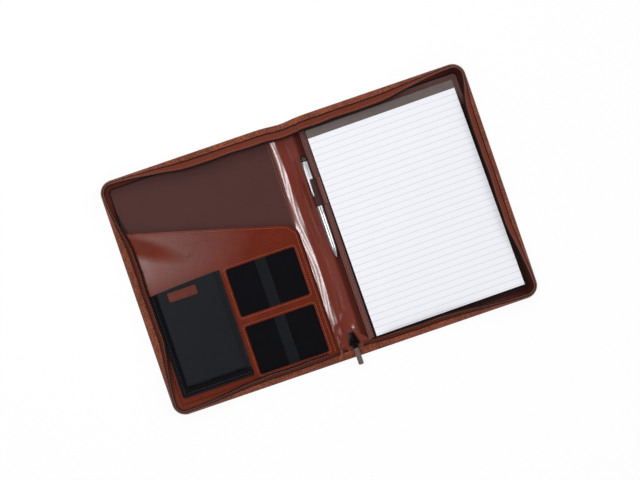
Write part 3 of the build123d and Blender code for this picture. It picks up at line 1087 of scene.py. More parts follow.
class PADFOLIO_OT_covers(bpy.types.Operator):
    """Adds the outer leather of both halves, which meet at the spine"""

    bl_idname = "padfolio.covers"
    bl_label = "Cover Leather"
    bl_options = {"REGISTER", "UNDO"}

    fold_columns = 0.45
    flat_columns = 0.7

    def execute(self, context):
        half_x, half_y = case_reach()
        radius = sizes().corner_radius
        top = node_box("back_cover_leather")[1].z
        hinge = node_box("spine_leather")[1].x
        bends, turns = self.fold_columns, self.flat_columns

        def column(u):
            """X, and half the height there: close columns at the fold and round the corner."""
            if u < bends:
                return mix(0, 2 * hinge, u / bends), half_y
            if u < turns:
                return mix(2 * hinge, half_x - radius, (u - bends) / (turns - bends)), half_y
            turn = (u - turns) / (1 - turns) * math.pi / 2
            return half_x - radius + radius * math.sin(turn), half_y - radius + radius * math.cos(turn)

        for half in (1, -1):
            label = side_label(half)

            def place(u, v):
                x, reach = column(u if half > 0 else 1 - u)
                y = mix(-reach, reach, v)
                y -= spine_dip(x) * smoothstep(y / reach)
                rim = min(1.0, (1 - abs(2 * v - 1)) * 12)
                return Vector((half * x, y, top - 0.45 * MM * (1 - rim) ** 2))

            piece = laid_grid(f"{label}_cover_hide", 64, 28, place, (half_x, 2 * half_y))
            piece.data.materials.append(cover_leather())
            thicken(piece, top - 0.02 * MM)
            for vertex in piece.data.vertices:
                vertex.co.z = max(vertex.co.z, 0.0)
            smooth(piece, 50)
            nodes = [f"{label}_cover_leather", "spine_leather"]
            bend_into_spine(piece, half, nodes, hinge + 6 * MM, hinge - 5 * MM)
        return {"FINISHED"}


class PADFOLIO_OT_zip_band(bpy.types.Operator):
    """Adds the zip wall round both halves: gusset, tape, teeth, seams and inner facing"""

    bl_idname = "padfolio.zip_band"
    bl_label = "Zip Band"
    bl_options = {"REGISTER", "UNDO"}

    pleat_outer = 40 * MM
    pleat_inner = 2 * MM
    coil_gap = 24 * MM
    facing_gap = 62 * MM

    def execute(self, context):
        for half in (1, -1):
            label = side_label(half)
            end = band_length()
            self.gusset(half, label, (0.0, end))
            self.tape(half, label, (0.0, end))
            self.coil(half, label, (0.0, end - self.coil_gap))
            self.facing(half, label, (0.0, end - self.facing_gap))
        return {"FINISHED"}

    def pleat(self, piece, half, slot, *nodes):
        """Hides the CAD nodes that a piece of the wall stands for, and bakes its place into its mesh."""
        bend_into_spine(piece, half, nodes, self.pleat_outer, self.pleat_inner)

    def gusset(self, half, label, ends):
        upper = sizes().gusset_share
        name = f"{label}_zip_gusset_hide"
        looks = [cover_leather(), wall_leather()]
        strip = wall_strip(name, half, ends, (0.0, upper), looks, depth=0.0, thickness=1.3 * MM)
        # Painted shadow: a near-black strip in the seam between the leather and the tape, where shade
        # falls.
        sunk = (upper - 0.01, upper + 0.075)
        gap = wall_strip("gap", half, ends, sunk, [wall_shadow()], depth=0.55 * MM, thickness=0.3 * MM)
        model = bead("seam_model", (2.4 * MM, 1.0 * MM, 0.5 * MM))
        seam = wall_row(
            "seam", half, ends, model, wall_thread(), level=upper + 0.035, depth=0.5 * MM, pitch=4.2 * MM
        )
        nodes = [f"{label}_zip_gusset", "spine_top_gusset", "spine_fold_flap"]
        self.pleat(joined(name, [strip, gap, seam]), half, "cover_leather", *nodes)

    def tape(self, half, label, ends):
        name = f"{label}_zip_tape_cloth"
        levels = (sizes().gusset_share - 0.07, 0.97)
        piece = wall_strip(name, half, ends, levels, [tape_cloth()], depth=0.8 * MM, thickness=0.7 * MM)
        self.pleat(piece, half, "zip_tape", f"{label}_zip_tape", "spine_top_tape")

    def coil(self, half, label, ends):
        look, pitch = coil_plastic(), sizes().tooth_pitch
        tooth = bead("tooth_model", (3.7 * MM, 1.4 * MM, 1.5 * MM))
        teeth = wall_row(
            "teeth", half, ends, tooth, look, level=0.985, depth=0.9 * MM, pitch=pitch, across=True
        )
        core = wall_strip("core", half, ends, (0.95, 1.0), [look], depth=0.8 * MM, thickness=0.8 * MM)
        dash = bead("dash_model", (2.2 * MM, 0.8 * MM, 0.5 * MM))
        dashes = wall_row(
            "dashes", half, ends, dash, seam_thread(), level=0.87, depth=0.75 * MM, pitch=3.6 * MM
        )
        piece = joined(f"{label}_zip_teeth", [teeth, core, dashes])
        self.pleat(piece, half, "zip_coil", f"{label}_zip_coil")

    def facing(self, half, label, ends):
        """The wall's inner face, from the rim down to a near-black strip of painted shade on the lining or
        to the pocket.
        """
        foot_z = node_box("back_lining")[1].z
        pocket = node_box("tablet_pocket_panel")
        top, bend, _ = band_runs()
        meets = ends[1]
        if half < 0:
            meets = top + bend + case_reach()[1] - sizes().corner_radius - pocket[1].y

        def spot(s, inset, z):
            edge, inwards = edge_point(s)
            flat = edge + inwards * inset
            return Vector((flat.x * half, flat.y, z))

        def face(s, v):
            near, high = wall_profile(half, s, 0.93)
            fall = 1 - v
            beside = smoothstep((s - meets) / (15 * MM))
            foot_in = mix(sizes().facing_inset, case_reach()[0] + pocket[0].x, beside)
            foot = mix(foot_z + 0.3 * MM, pocket[0].z - 2 * MM, beside)
            inset = mix(near + 1.6 * MM, foot_in, fall ** 1.4)
            return spot(s, inset, mix(high - 0.6 * MM, foot, fall))

        # Painted shade: a near-black strip in the coil's colour at the wall's foot, where shade falls in
        # the crease on the lining.
        def crease_shade(s, v):
            hump = 0.1 * MM + 0.8 * MM * math.sin(math.pi * v)
            return spot(s, sizes().facing_inset - 0.6 * MM + 3.2 * MM * v, foot_z + hump)

        # The pad half's facing takes the copy of the wall leather with painted shade.
        look = shaded_wall_leather() if half > 0 else wall_leather()
        facing = band_grid("facing", half, ends, 8, face, [look], 0.5 * MM)
        crease_shadow = band_grid("crease_shadow", half, (ends[0], meets), 6, crease_shade, [coil_plastic()], 0.3 * MM)
        self.pleat(joined(f"{label}_zip_facing", [facing, crease_shadow]), half, "zip_tape")


def softened(distance, radius):
    """How far a surface has dropped at this distance from its edge, if the edge is rounded."""
    near = 1 - min(1.0, max(0.0, distance / radius))
    return radius * (1 - math.sqrt(1 - near * near))


def groove(offset, depth=0.35 * MM, width=0.9 * MM):
    """A sewn-in line: how deep the surface is at this offset from it."""
    return depth * bell(offset, width)


def spine_height(x, y, start):
    """The spine strip's top: a slope up to a crest, a long fall and a fold by the pad, low at the zip."""
    foot, lowest = 4.25 * MM, 2.45 * MM
    crest, fold_start, edge_end = -10.5 * MM, 4 * MM, -19.8 * MM
    climb = (12.9 + 2.2 * math.cos(y / (90 * MM)) - 3 * smoothstep((y - 70 * MM) / (80 * MM))) * MM
    rise = sizes().spine_rise * soft_least(x + SPINE_POCKET_REACH, climb, 0.8 * MM)
    fall = -sizes().spine_fall * soft_least(crest - x, 0, 1.2 * MM)
    fold = max(0.0, x - fold_start) ** 2 / (17 * MM)
    steep = 0.34 * smoothstep((y - 10 * MM) / (60 * MM)) + 0.12 * smoothstep((-50 * MM - y) / (60 * MM))
    edge = steep * max(0.0, edge_end - x) ** 2 / (8 * MM)
    waves = 0.05 * MM * math.sin(x * 800 + 3 * math.sin(y * 41)) + 0.2 * MM * math.sin(y * 31)
    waves += 0.05 * MM * math.sin(y * 83) * math.sin(y * 47 + x * 90)
    raised = max(lowest, foot + rise - edge - fall - fold + waves)
    flat = mix(2.35 * MM, 4.5 * MM, smoothstep((-17 * MM - x) / (3.5 * MM)))
    flat_end = start + mix(17 * MM, 35 * MM, bell(x, 8 * MM))
    pucker = 1.4 * MM * bell(x - 8 * MM, 3.4 * MM) * bell(y - start - 28.5 * MM, 4 * MM)
    return mix(flat, raised, smoothstep((y - flat_end) / (24 * MM))) + pucker


class PADFOLIO_OT_spine_strip(bpy.types.Operator):
    """Adds the glossy crowned leather over the spine, one piece for each half"""

    bl_idname = "padfolio.spine_strip"
    bl_label = "Spine Strip"
    bl_options = {"REGISTER", "UNDO"}

    def execute(self, context):
        hinge = node_box("spine_leather")[1].x
        low, high = node_box("spine_inner_leather")
        start, end = low.y - 5 * MM, high.y
        for half, reach in ((1, SPINE_PAD_REACH), (-1, SPINE_POCKET_REACH)):

            def place(u, v):
                across = u if half > 0 else 1 - u
                y = mix(start, end, v)
                x = half * reach * across
                return Vector((x, y, spine_height(x, y, start)))

            look = spine_fold_leather() if half > 0 else spine_gloss()
            name = f"spine_strip_{side_label(half)}"
            piece = skin(name, 36, 110, place, (reach, end - start), 0.9 * MM, look)
            nodes = ["spine_inner_leather"]
            bend_into_spine(piece, half, nodes, hinge + 5 * MM, hinge - 7 * MM)
        return {"FINISHED"}


class PADFOLIO_OT_linings(bpy.types.Operator):
    """Adds the lining glued inside both covers, and finishes the boards and foam under it"""

    bl_idname = "padfolio.linings"
    bl_label = "Linings"
    bl_options = {"REGISTER", "UNDO"}

    def execute(self, context):
        board = finish("Grey board", pressed_fibre, colours().board, scale=420.0)
        foam = finish("Cover foam", pressed_fibre, colours().foam, scale=700.0)
        self.lining(1, pad_lining_skin())
        self.lining(-1, lining_skin())
        for name in ("back_stiffener_board", "front_stiffener_board", "spine_board", "pad_backing_board"):
            dress(name, board)
        for name in ("back_foam_padding", "front_foam_padding"):
            dress(name, foam)
        return {"FINISHED"}

    def lining(self, half, look):
        label = side_label(half)
        low, high = node_box(f"{label}_lining")
        near, far = sorted((abs(low.x), abs(high.x)))
        radius, turns = 9 * MM, 0.8

        def place(u, v):
            along = u if half > 0 else 1 - u
            x, reach = mix(near, far - radius, along / turns), high.y
            if along > turns:
                turn = (along - turns) / (1 - turns) * math.pi / 2
                x = far - radius + radius * math.sin(turn)
                reach = high.y - radius + radius * math.cos(turn)
            cut = 4 * MM * smoothstep((36 * MM - x) / (14 * MM))
            y = mix(cut - reach, reach, v)
            ripple = 0.12 * MM * math.sin(x * 61 + y * 23) * math.sin(y * 47)
            return Vector((half * x, y, high.z - 0.12 * MM + ripple))

        flat = (far - near, 2 * high.y)
        piece = skin(f"{label}_lining_skin", 60, 70, place, flat, high.z - low.z - 0.3 * MM, look)
        keep(piece, f"{label}_lining", f"{label}_half")


def dress(node, look):
    """Gives a CAD node a finish of this scene."""
    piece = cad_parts[node]
    piece.data.materials.clear()
    piece.data.materials.append(look)


def shadow_edged(piece, right, thickness):
    """Makes a grid a leather strip with a painted shadow along its right edge, by the pad."""
    piece.data.materials.append(strip_leather())
    piece.data.materials.append(wall_shadow())
    for face in piece.data.polygons:
        face.material_index = face.center.x > right - 1.6 * MM
    thicken(piece, thickness)
    smooth(piece, 60)


class PADFOLIO_OT_writing_pad(bpy.types.Operator):
    """Adds the stitched edge strip, the sleeve, the ruled pages and their binding tape"""

    bl_idname = "padfolio.writing_pad"
    bl_label = "Writing Pad"
    bl_options = {"REGISTER", "UNDO"}

    head_margin = 19.2 * MM

    def execute(self, context):
        self.edge_strip()
        self.sleeve()
        self.pages()
        self.binding()
        return {"FINISHED"}

    def askew(self, x, y, z):
        """A place on the pad, turned with the pad about its middle."""
        low, high = node_box("pad_pages")
        middle = (low + high) / 2
        slant = sizes().pad_slant
        trim = sizes().pad_taper * (x - low.x) / (high.x - low.x) * (y - low.y) / (high.y - low.y)
        return Vector((x - trim - slant * (y - middle.y), y + slant * (x - middle.x), z))

    def edge_strip(self):
        low, high = node_box("pad_edge_strip")
        rows = (low.x + 2.3 * MM, high.x - 3.2 * MM)
        sunk = high.z - 0.25 * MM

        def place(u, v):
            x = mix(low.x, high.x, u)
            y = mix(low.y, high.y, v)
            drop = softened(min(x - low.x, high.x - x), 0.9 * MM)
            drop += softened(min(y - low.y, high.y - y), 0.9 * MM)
            drop += sum(groove(x - row) for row in rows)
            return Vector((x, y, high.z - drop))

        piece = laid_grid("pad_edge_strip_hide", 28, 120, place, (high.x - low.x, high.y - low.y))
        shadow_edged(piece, high.x, high.z - low.z - 0.9 * MM)
        lines = [[(x, low.y + 3 * MM, sunk), (x, high.y - 3 * MM, sunk)] for x in rows]
        seams = [stitch_row("seam", line, wall_shadow(), width=0.6 * MM) for line in lines]
        keep(joined("pad_edge_strip_hide", [piece, *seams]), "pad_edge_strip", "back_half")

    def sleeve(self):
        low, high = node_box("pad_sleeve_panel")
        piece = rounded(block("pad_sleeve_hide", low, high), 0.5 * MM)
        piece.data.materials.append(sleeve_leather())
        inset = 2.2 * MM
        top = high.z + 0.05 * MM
        line = [
            (high.x - inset, high.y - 4 * MM, top),
            (high.x - inset, low.y + inset, top),
            (low.x + 4 * MM, low.y + inset, top),
        ]
        seam = stitch_row("seam", line, wall_thread())
        keep(joined("pad_sleeve_hide", [piece, seam]), "pad_sleeve_panel", "back_half")

    def pages(self):
        low, high = node_box("pad_pages")
        first_line = high.y - self.head_margin - sizes().pad_slant * (low.x + high.x) / 2

        def place(u, v):
            x = mix(low.x, high.x, u)
            y = mix(low.y + 1.3 * MM, high.y, v)
            curl = 0.5 * MM * (max(0.0, u - 0.75) * 4) ** 2 * (max(0.0, 0.25 - v) * 4) ** 2
            ripple = 0.12 * MM * math.sin(x * 29) * math.sin(y * 21)
            return self.askew(x, y, high.z - 0.15 * MM + ripple + curl)

        look = finish(
            "Ruled pages", ruled_paper, colours().paper, ink=colours().ruled,
            first_line=first_line, pitch=sizes().ruling, slant=sizes().pad_slant,
        )
        uv_size = (high.x - low.x, high.y - low.y)
        piece = skin("pad_pages_stack", 40, 50, place, uv_size, high.z - low.z - 0.3 * MM, look)
        keep(piece, "pad_pages", "back_half")

    def binding(self):
        low, high = node_box("pad_binding_tape")
        edge = low.y
        fold = high.y
        bend = 0.7 * MM
        over = fold - bend - edge
        down = high.z - low.z - bend - 0.4 * MM
        arc = bend * math.pi / 2

        def place(u, v):
            x = mix(low.x, high.x, u)
            run = v * (over + arc + down)
            if run < over:
                return self.askew(x, edge + run, high.z)
            if run < over + arc:
                turn = (run - over) / bend
                y, z = fold - bend + bend * math.sin(turn), high.z - bend + bend * math.cos(turn)
                return self.askew(x, y, z)
            return self.askew(x, fold, high.z - bend - (run - over - arc))

        look = finish("Binding tape cloth", binding_cloth, colours().binding)
        uv_size = (high.x - low.x, over + arc + down)
        piece = skin("pad_binding_strip", 40, 40, place, uv_size, 0.25 * MM, look)
        keep(piece, "pad_binding_tape", "back_half")


def plate(name, low, high, radius, edge):
    """A flat plate with rounded corners, seen from above, and softened edges."""
    piece = block(name, low, high)

    def upright(side):
        a, b = (piece.data.vertices[i].co for i in side.vertices)
        return abs(a.z - b.z) > (high[2] - low[2]) / 2

    pick(piece, "EDGE", upright)
    bpy.ops.mesh.bevel(offset=radius, segments=6, affect="EDGES")
    bpy.ops.object.mode_set(mode="OBJECT")
    return rounded(piece, edge)


def stepped(position, knots, counts):
    """A place between knots, where each gap has its own count of even steps."""
    step = position * sum(counts)
    for low, high, count in zip(knots, knots[1:], counts):
        if step <= count + 1e-6:
            return mix(low, high, min(1.0, step / count))
        step -= count
    return knots[-1]


class PADFOLIO_OT_tablet_pocket(bpy.types.Operator):
    """Adds the pocket panel with its slanted mouth and card windows, and its turned hem"""

    bl_idname = "padfolio.tablet_pocket"
    bl_label = "Tablet Pocket"
    bl_options = {"REGISTER", "UNDO"}

    right_height = 181 * MM
    spine_overlap = 1.4 * MM
    mouth_radius = 14 * MM
    window_radius = 3 * MM
    window_margin = 2.5 * MM
    hem_width = 2.5 * MM
    seam_inset = 2.6 * MM

    def execute(self, context):
        low, high = node_box("tablet_pocket_panel")
        self.low, self.high = low, high + Vector((self.spine_overlap, 0, 0))
        self.right_mouth = low.y + self.right_height
        self.windows = [self.window(f"{level}_card_window_cloth") for level in ("lower", "upper")]
        panel = self.panel()
        piece = joined("tablet_pocket_hide", [panel, *self.seams()])
        keep(piece, "tablet_pocket_panel", "front_half")
        self.hem()
        self.spine_seam()
        return {"FINISHED"}

    def window(self, cloth):
        """Left, right, lower and upper edge of the opening in front of a window's cloth."""
        low, high = node_box(cloth)
        edge = self.window_margin
        return low.x + edge, high.x - edge, low.y + edge, high.y - edge

    def mouth(self, x):
        """Height of the slanted mouth, rounded off at its right end."""
        low, high = self.low, self.high
        slant = mix(high.y, self.right_mouth, (x - low.x) / (high.x - low.x))
        return slant - softened(high.x - x, self.mouth_radius)

    def panel(self):
        low, high = self.low, self.high
        left, right, *_ = self.windows[0]
        (_, _, y0, y1), (_, _, y2, y3) = self.windows
        columns, rows = (16, 14, 8), (2, 10, 3, 10, 12)

        def place(u, v):
            x = stepped(u, (low.x, left, right, high.x), columns)
            if x > right:
                x = mix(right, high.x, math.sin((x - right) / (high.x - right) * math.pi / 2))
            y = stepped(v, (low.y, y0, y1, y2, y3, self.mouth(x)), rows)
            sag = 0.45 * MM * math.sin(x * 24 + 0.6) * math.sin(y * 19 + 0.4)
            puff = 0.5 * MM * smoothstep((self.mouth(x) - y) / (40 * MM)) * smoothstep((y - y3) / (20 * MM))
            return Vector((x, y, high.z - 0.3 * MM + sag * smoothstep((x - low.x) / (20 * MM)) + puff))

        piece = laid_grid("panel", sum(columns), sum(rows), place, (high.x - low.x, high.y - low.y))
        self.cut_windows(piece)
        piece.data.materials.append(pocket_leather())
        thicken(piece, high.z - low.z)
        return rounded(piece, 0.4 * MM, segments=2, angle=60)

    def cut_windows(self, piece):
        """Cuts the openings and rounds their corners."""
        corners = [(x, y) for w in self.windows for x in w[:2] for y in w[2:]]

        def open_face(face):
            x, y, _ = face.center
            return any(w[0] < x < w[1] and w[2] < y < w[3] for w in self.windows)

        def corner_point(vertex):
            return any(math.dist(vertex.co.xy, corner) < 0.01 * MM for corner in corners)

        pick(piece, "FACE", open_face)
        bpy.ops.mesh.delete(type="FACE")
        bpy.ops.object.mode_set(mode="OBJECT")
        pick(piece, "VERT", corner_point)
        bpy.ops.mesh.bevel(offset=self.window_radius, segments=4, affect="VERTICES")
        bpy.ops.object.mode_set(mode="OBJECT")

    def seams(self):
        low, high = self.low, self.high
        top = high.z + 0.05 * MM
        inset = self.seam_inset
        columns = 24
        across = [mix(low.x + 2 * inset, high.x - inset, i / columns) for i in range(columns + 1)]
        mouth = [(x, self.mouth(x + inset * 0.6) - inset, top) for x in across]
        x = high.x - inset
        right = [(x, self.right_mouth - self.mouth_radius, top), (x, low.y + inset, top)]
        rows = [stitch_row("seam", mouth + right, seam_thread())]
        for left, far, lower, upper in self.windows:
            sides = (left - inset, far + inset, lower - inset, upper + inset)
            path = rounded_box(*sides, top, self.window_radius + inset)
            rows.append(stitch_row("seam", path, seam_thread()))
        return rows

    def hem(self):
        low, high = node_box("tablet_pocket_hem")
        wide = self.hem_width
        right_end = self.right_mouth - self.mouth_radius - 1 * MM
        sides = [
            (low, (low.x + wide, self.high.y - 3 * MM, high.z)),
            ((low.x + wide, low.y, low.z), (high.x - wide, low.y + wide, high.z)),
            ((high.x - wide, low.y, low.z), (high.x, right_end, high.z)),
        ]
        blocks = [rounded(block("hem", *corners), 0.5 * MM) for corners in sides]
        piece = joined("tablet_pocket_turned_hem", blocks)
        piece.data.materials.append(pocket_leather())
        keep(piece, "tablet_pocket_hem", "front_half")

    def spine_seam(self):
        """The seam that sews the glossy strip down beside the spine."""
        low, high = node_box("front_lining")
        x, top = high.x - 4.6 * MM, high.z + 0.05 * MM
        line = [(x, low.y + 24 * MM, top), (x, high.y - 14 * MM, top)]
        piece = stitch_row("front_lining_seam", line, seam_thread(), width=0.6 * MM, height=0.3 * MM)
        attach(piece, "front_half")


class PADFOLIO_OT_card_windows(bpy.types.Operator):
    """Adds the cloth behind the two card windows and the elastic band across each"""

    bl_idname = "padfolio.card_windows"
    bl_label = "Card Windows"
    bl_options = {"REGISTER", "UNDO"}

    def execute(self, context):
        for level in ("upper", "lower"):
            self.cloth(level)
            self.elastic(level)
        return {"FINISHED"}

    def cloth(self, level):
        low, high = node_box(f"{level}_card_window_cloth")

        def place(u, v):
            sag = 0.35 * MM * math.sin(math.pi * u) * math.sin(math.pi * v)
            return Vector((mix(low.x, high.x, u), mix(low.y, high.y, v), high.z - 0.1 * MM - sag))

        flat = (high.x - low.x, high.y - low.y)
        piece = skin(f"{level}_card_cloth", 30, 24, place, flat, 0.4 * MM, window_cloth())
        keep(piece, f"{level}_card_window_cloth", "front_half")

    def elastic(self, level):
        low, high = node_box(f"{level}_card_elastic")

        def place(u, v):
            lift = 0.3 * MM * (1 - (2 * u - 1) ** 4) + 0.3 * MM * math.sin(math.pi * v)
            return Vector((mix(low.x, high.x, u), mix(low.y, high.y, v), high.z - 0.3 * MM + lift))

        uv_size = (high.x - low.x, high.y - low.y)
        piece = skin(f"{level}_card_band", 16, 40, place, uv_size, high.z - low.z, elastic_band())
        keep(piece, f"{level}_card_elastic", "front_half")


class PADFOLIO_OT_phone_pocket(bpy.types.Operator):
    """Adds the black pouch, its piping and its stitched leather tab"""

    bl_idname = "padfolio.phone_pocket"
    bl_label = "Phone Pouch"
    bl_options = {"REGISTER", "UNDO"}

    def execute(self, context):
        self.pouch()
        self.piping()
        self.tab()
        return {"FINISHED"}

    def pouch(self):
        low, high = node_box("phone_pocket")
        flange = low.z + 1.0 * MM

        def place(u, v):
            x = mix(low.x, high.x, u)
            mouth = high.y - 4.5 * MM * (1 - u) ** 1.5
            y = mix(low.y, mouth, v)
            left = smoothstep((x - low.x - 6.0 * MM) / (4.0 * MM))
            right = smoothstep((high.x - x - 2.8 * MM) / (7.0 * MM))
            lower = smoothstep((y - low.y - 8.0 * MM) / (5.0 * MM))
            sag = 0.4 * MM * math.sin(x * 37) * math.sin(y * 31)
            rise = (high.z - 0.6 * MM - flange + sag) * min(left, right) * lower
            return Vector((x, y, flange + rise))

        piece = laid_grid("phone_pouch", 90, 100, place, (high.x - low.x, high.y - low.y))
        piece.data.materials.append(pouch_cloth())
        piece.data.materials.append(pouch_side_shade())
        # Painted shade: faces along the left and lower sides, where the pouch rises steeply, take the
        # near-black material.
        for face in piece.data.polygons:
            spot = face.center
            wobble = 0.7 * MM * math.sin(spot.x * 190) * math.sin(spot.y * 130)
            face.material_index = min(spot.x - low.x - 8 * MM, spot.y - low.y - 10.5 * MM) < wobble
        thicken(piece, 0.9 * MM)
        smooth(piece, 60)
        sewn = flange + 0.05 * MM
        left, right, lower = low.x + 2.2 * MM, high.x - 1.3 * MM, low.y + 2.6 * MM
        grey = [(left, high.y - 8 * MM, sewn), (left, lower, sewn), (right, lower, sewn)]
        brown = [(right, lower + 3 * MM, sewn), (right, high.y - 3 * MM, sewn)]
        seams = [stitch_row("seam", grey, pouch_thread()), stitch_row("seam", brown, wall_thread())]
        keep(joined("phone_pouch", [piece, *seams]), "phone_pocket", "front_half")

    def piping(self):
        low, high = node_box("phone_pocket_piping")
        mouth = node_box("phone_pocket")[1].y - 5 * MM
        radius = 1.2 * MM
        inset, corner = radius + 0.8 * MM, 5 * MM
        x, y, z = low.x + inset, low.y + inset, low.z + radius + 0.1 * MM
        line = [(x, mix(mouth, y + corner, i / 12), z) for i in range(13)]
        line += [(x, y, z)]
        line += [(mix(x + corner, high.x - radius, i / 10), y, z) for i in range(11)]
        piece = tube("phone_pouch_piping", line, radius)
        piece.data.materials.append(pouch_cloth())
        keep(piece, "phone_pocket_piping", "front_half")

    def tab(self):
        low, high = node_box("phone_pocket_tab")
        lift = Vector((0, 0, 0.3 * MM))
        piece = plate("phone_pouch_tab", low + lift, high + lift, radius=1.8 * MM, edge=0.3 * MM)
        piece.data.materials.append(tab_leather())
        inset = 1.9 * MM
        sides = (low.x + inset, high.x - inset, low.y + inset, high.y - inset)
        path = rounded_box(*sides, high.z + lift.z, 1.5 * MM)
        seam = stitch_row("seam", path, wall_thread(), width=0.6 * MM, height=0.35 * MM)
        keep(joined("phone_pouch_tab", [piece, seam]), "phone_pocket_tab", "front_half")


def pen_axis():
    """X and Z of the pen's axis."""
    low, high = node_box("pen_ring")
    return (low.x + high.x) / 2, (low.z + high.z) / 2


def pen_piece(name, node, profile, look):
    """One turned piece of the pen, from rings of (share of the node's length, radius in mm)."""
    low, high = node_box(node)
    x, z = pen_axis()
    rings = [(along * (high.y - low.y), radius * MM) for along, radius in profile]
    piece = turned(name, (x, low.y, z), (0, 1, 0), rings)
    piece.data.materials.append(look)
    smooth(piece, 35)
    keep(piece, node, "pen")


class PADFOLIO_OT_pen(bpy.types.Operator):
    """Adds the pen's cap, ring, barrels, tip and clip, and finishes its refill"""

    bl_idname = "padfolio.pen"
    bl_label = "Pen"
    bl_options = {"REGISTER", "UNDO"}

    def execute(self, context):
        cap = [(0, 4.15), (0.04, 4.35), (0.5, 4.4), (0.74, 4.15), (0.9, 3.3), (0.97, 2.2), (1, 0.6)]
        ring = [(0, 4.35), (0.12, 4.6), (0.42, 4.6), (0.5, 4.4), (0.58, 4.6), (0.88, 4.6), (1, 4.35)]
        upper = [(0, 4.2), (0.01, 4.38), (0.5, 4.4), (0.97, 4.4), (0.98, 4.2), (0.99, 4.2), (1, 4.38)]
        lower = [(0, 3.55), (0.03, 3.7), (0.35, 4.05), (0.9, 4.2), (0.93, 4.2), (0.94, 4.0), (1, 4.0)]
        tip = [(0, 0.7), (0.06, 1.05), (0.1, 1.15), (0.12, 1.5), (0.5, 2.6), (0.9, 3.45), (1, 3.5)]
        pen_piece("pen_black_cap", "pen_cap", cap, pen_black())
        pen_piece("pen_double_ring", "pen_ring", ring, pen_chrome())
        pen_piece("pen_upper_tube", "pen_upper_barrel", upper, pen_chrome())
        pen_piece("pen_lower_tube", "pen_lower_barrel", lower, pen_chrome())
        pen_piece("pen_cone", "pen_tip", tip, pen_chrome())
        dress("pen_refill", finish("Brass refill", polished_metal, colours().refill, roughness=0.35))
        self.clip()
        return {"FINISHED"}

    def clip(self):
        low, high = node_box("pen_clip")
        x, z = pen_axis()
        tilt = math.radians(30)
        up = Vector((-math.sin(tilt), 0, math.cos(tilt)))
        side = Vector((math.cos(tilt), 0, math.sin(tilt)))

        def place(u, v):
            y = mix(low.y, high.y + 0.8 * MM, v)
            root = smoothstep((v - 0.86) / 0.14)
            spring = 0.25 * MM * math.sin(math.pi * v)
            away = mix(6.55 * MM + spring, 4.7 * MM, root) - 0.35 * MM * smoothstep((0.12 - v) / 0.12)
            wide = mix(2.3 * MM, 3.3 * MM, smoothstep(v * 1.6))
            wide *= 1 - 0.35 * smoothstep((0.06 - v) / 0.06)
            across = (u - 0.5) * wide
            return Vector((x, y, z)) + up * (away - 1.3 * across * across / wide) + side * across

        piece = laid_grid("pen_spring_clip", 8, 48, place, (3.2 * MM, high.y - low.y))
        piece.data.materials.append(pen_chrome())
        thicken(piece, 0.7 * MM)
        rounded(piece, 0.18 * MM, segments=2, angle=50)
        keep(piece, "pen_clip", "pen")


class PADFOLIO_OT_pen_loop(bpy.types.Operator):
    """Adds the leather loop round the pen and the strap that sews it to the edge strip"""

    bl_idname = "padfolio.pen_loop"
    bl_label = "Pen Loop"
    bl_options = {"REGISTER", "UNDO"}

    def execute(self, context):
        low, high = node_box("pen_loop")
        x, z = pen_axis()
        strap_low, strap_high = node_box("pen_loop_strap")
        strap_z = (strap_low.z + strap_high.z) / 2
        radius = 5.35 * MM
        start, turn = math.radians(8), math.radians(300)
        tail_x = high.x - 0.4 * MM
        joins, leaves = 0.12, 0.9

        def round_pen(angle):
            return x + radius * math.cos(angle), z + radius * math.sin(angle)

        def path(t):
            """The loop's outer line, seen along the pen: from the strap, round the pen and back."""
            if t < joins:
                over, up = round_pen(start)
                part = t / joins
                return mix(tail_x, over, part), mix(strap_z + 0.75 * MM, up, smoothstep(part))
            if t < leaves:
                return round_pen(start + turn * (t - joins) / (leaves - joins))
            over, up = round_pen(start + turn)
            part = (t - leaves) / (1 - leaves)
            return mix(over, tail_x, part), mix(up, strap_z, smoothstep(part))

        def place(u, v):
            across, tall = path(1 - u)
            flare = 0.25 * MM * (2 * v - 1) ** 4 + 0.3 * MM * math.sin(v * 21 + u * 9)
            return Vector((across, mix(low.y, high.y, v), tall + flare))

        uv_size = (44 * MM, high.y - low.y)
        loop = skin("pen_loop_hide", 72, 20, place, uv_size, 0.65 * MM, loop_leather())
        keep(loop, "pen_loop", "pen_loop")
        self.strap(low.y, high.y, tail_x)
        return {"FINISHED"}

    def strap(self, lower, upper, tail_x):
        low, high = node_box("pen_loop_strap")

        def place(u, v):
            x = mix(tail_x - 1.2 * MM, high.x, u)
            y = mix(lower, upper, v)
            drop = softened(min(y - lower, upper - y, high.x - x), 0.6 * MM)
            return Vector((x, y, high.z + 0.1 * MM - drop))

        strap = laid_grid("pen_loop_sewn_strap", 20, 36, place, (high.x - tail_x, upper - lower))
        shadow_edged(strap, high.x, high.z - low.z)
        x, top = high.x - 3.2 * MM, high.z + 0.1 * MM
        seam = stitch_row("seam", [(x, lower + 1 * MM, top), (x, upper - 1 * MM, top)], seam_thread())
        strap = joined("pen_loop_sewn_strap", [strap, seam])
        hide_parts("pen_loop_strap")
        start, end = (low.x + 0.7 * MM, 0, 0), (tail_x - 0.8 * MM, 0, 0)
        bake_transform(strap)
        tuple(start)
        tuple(end)


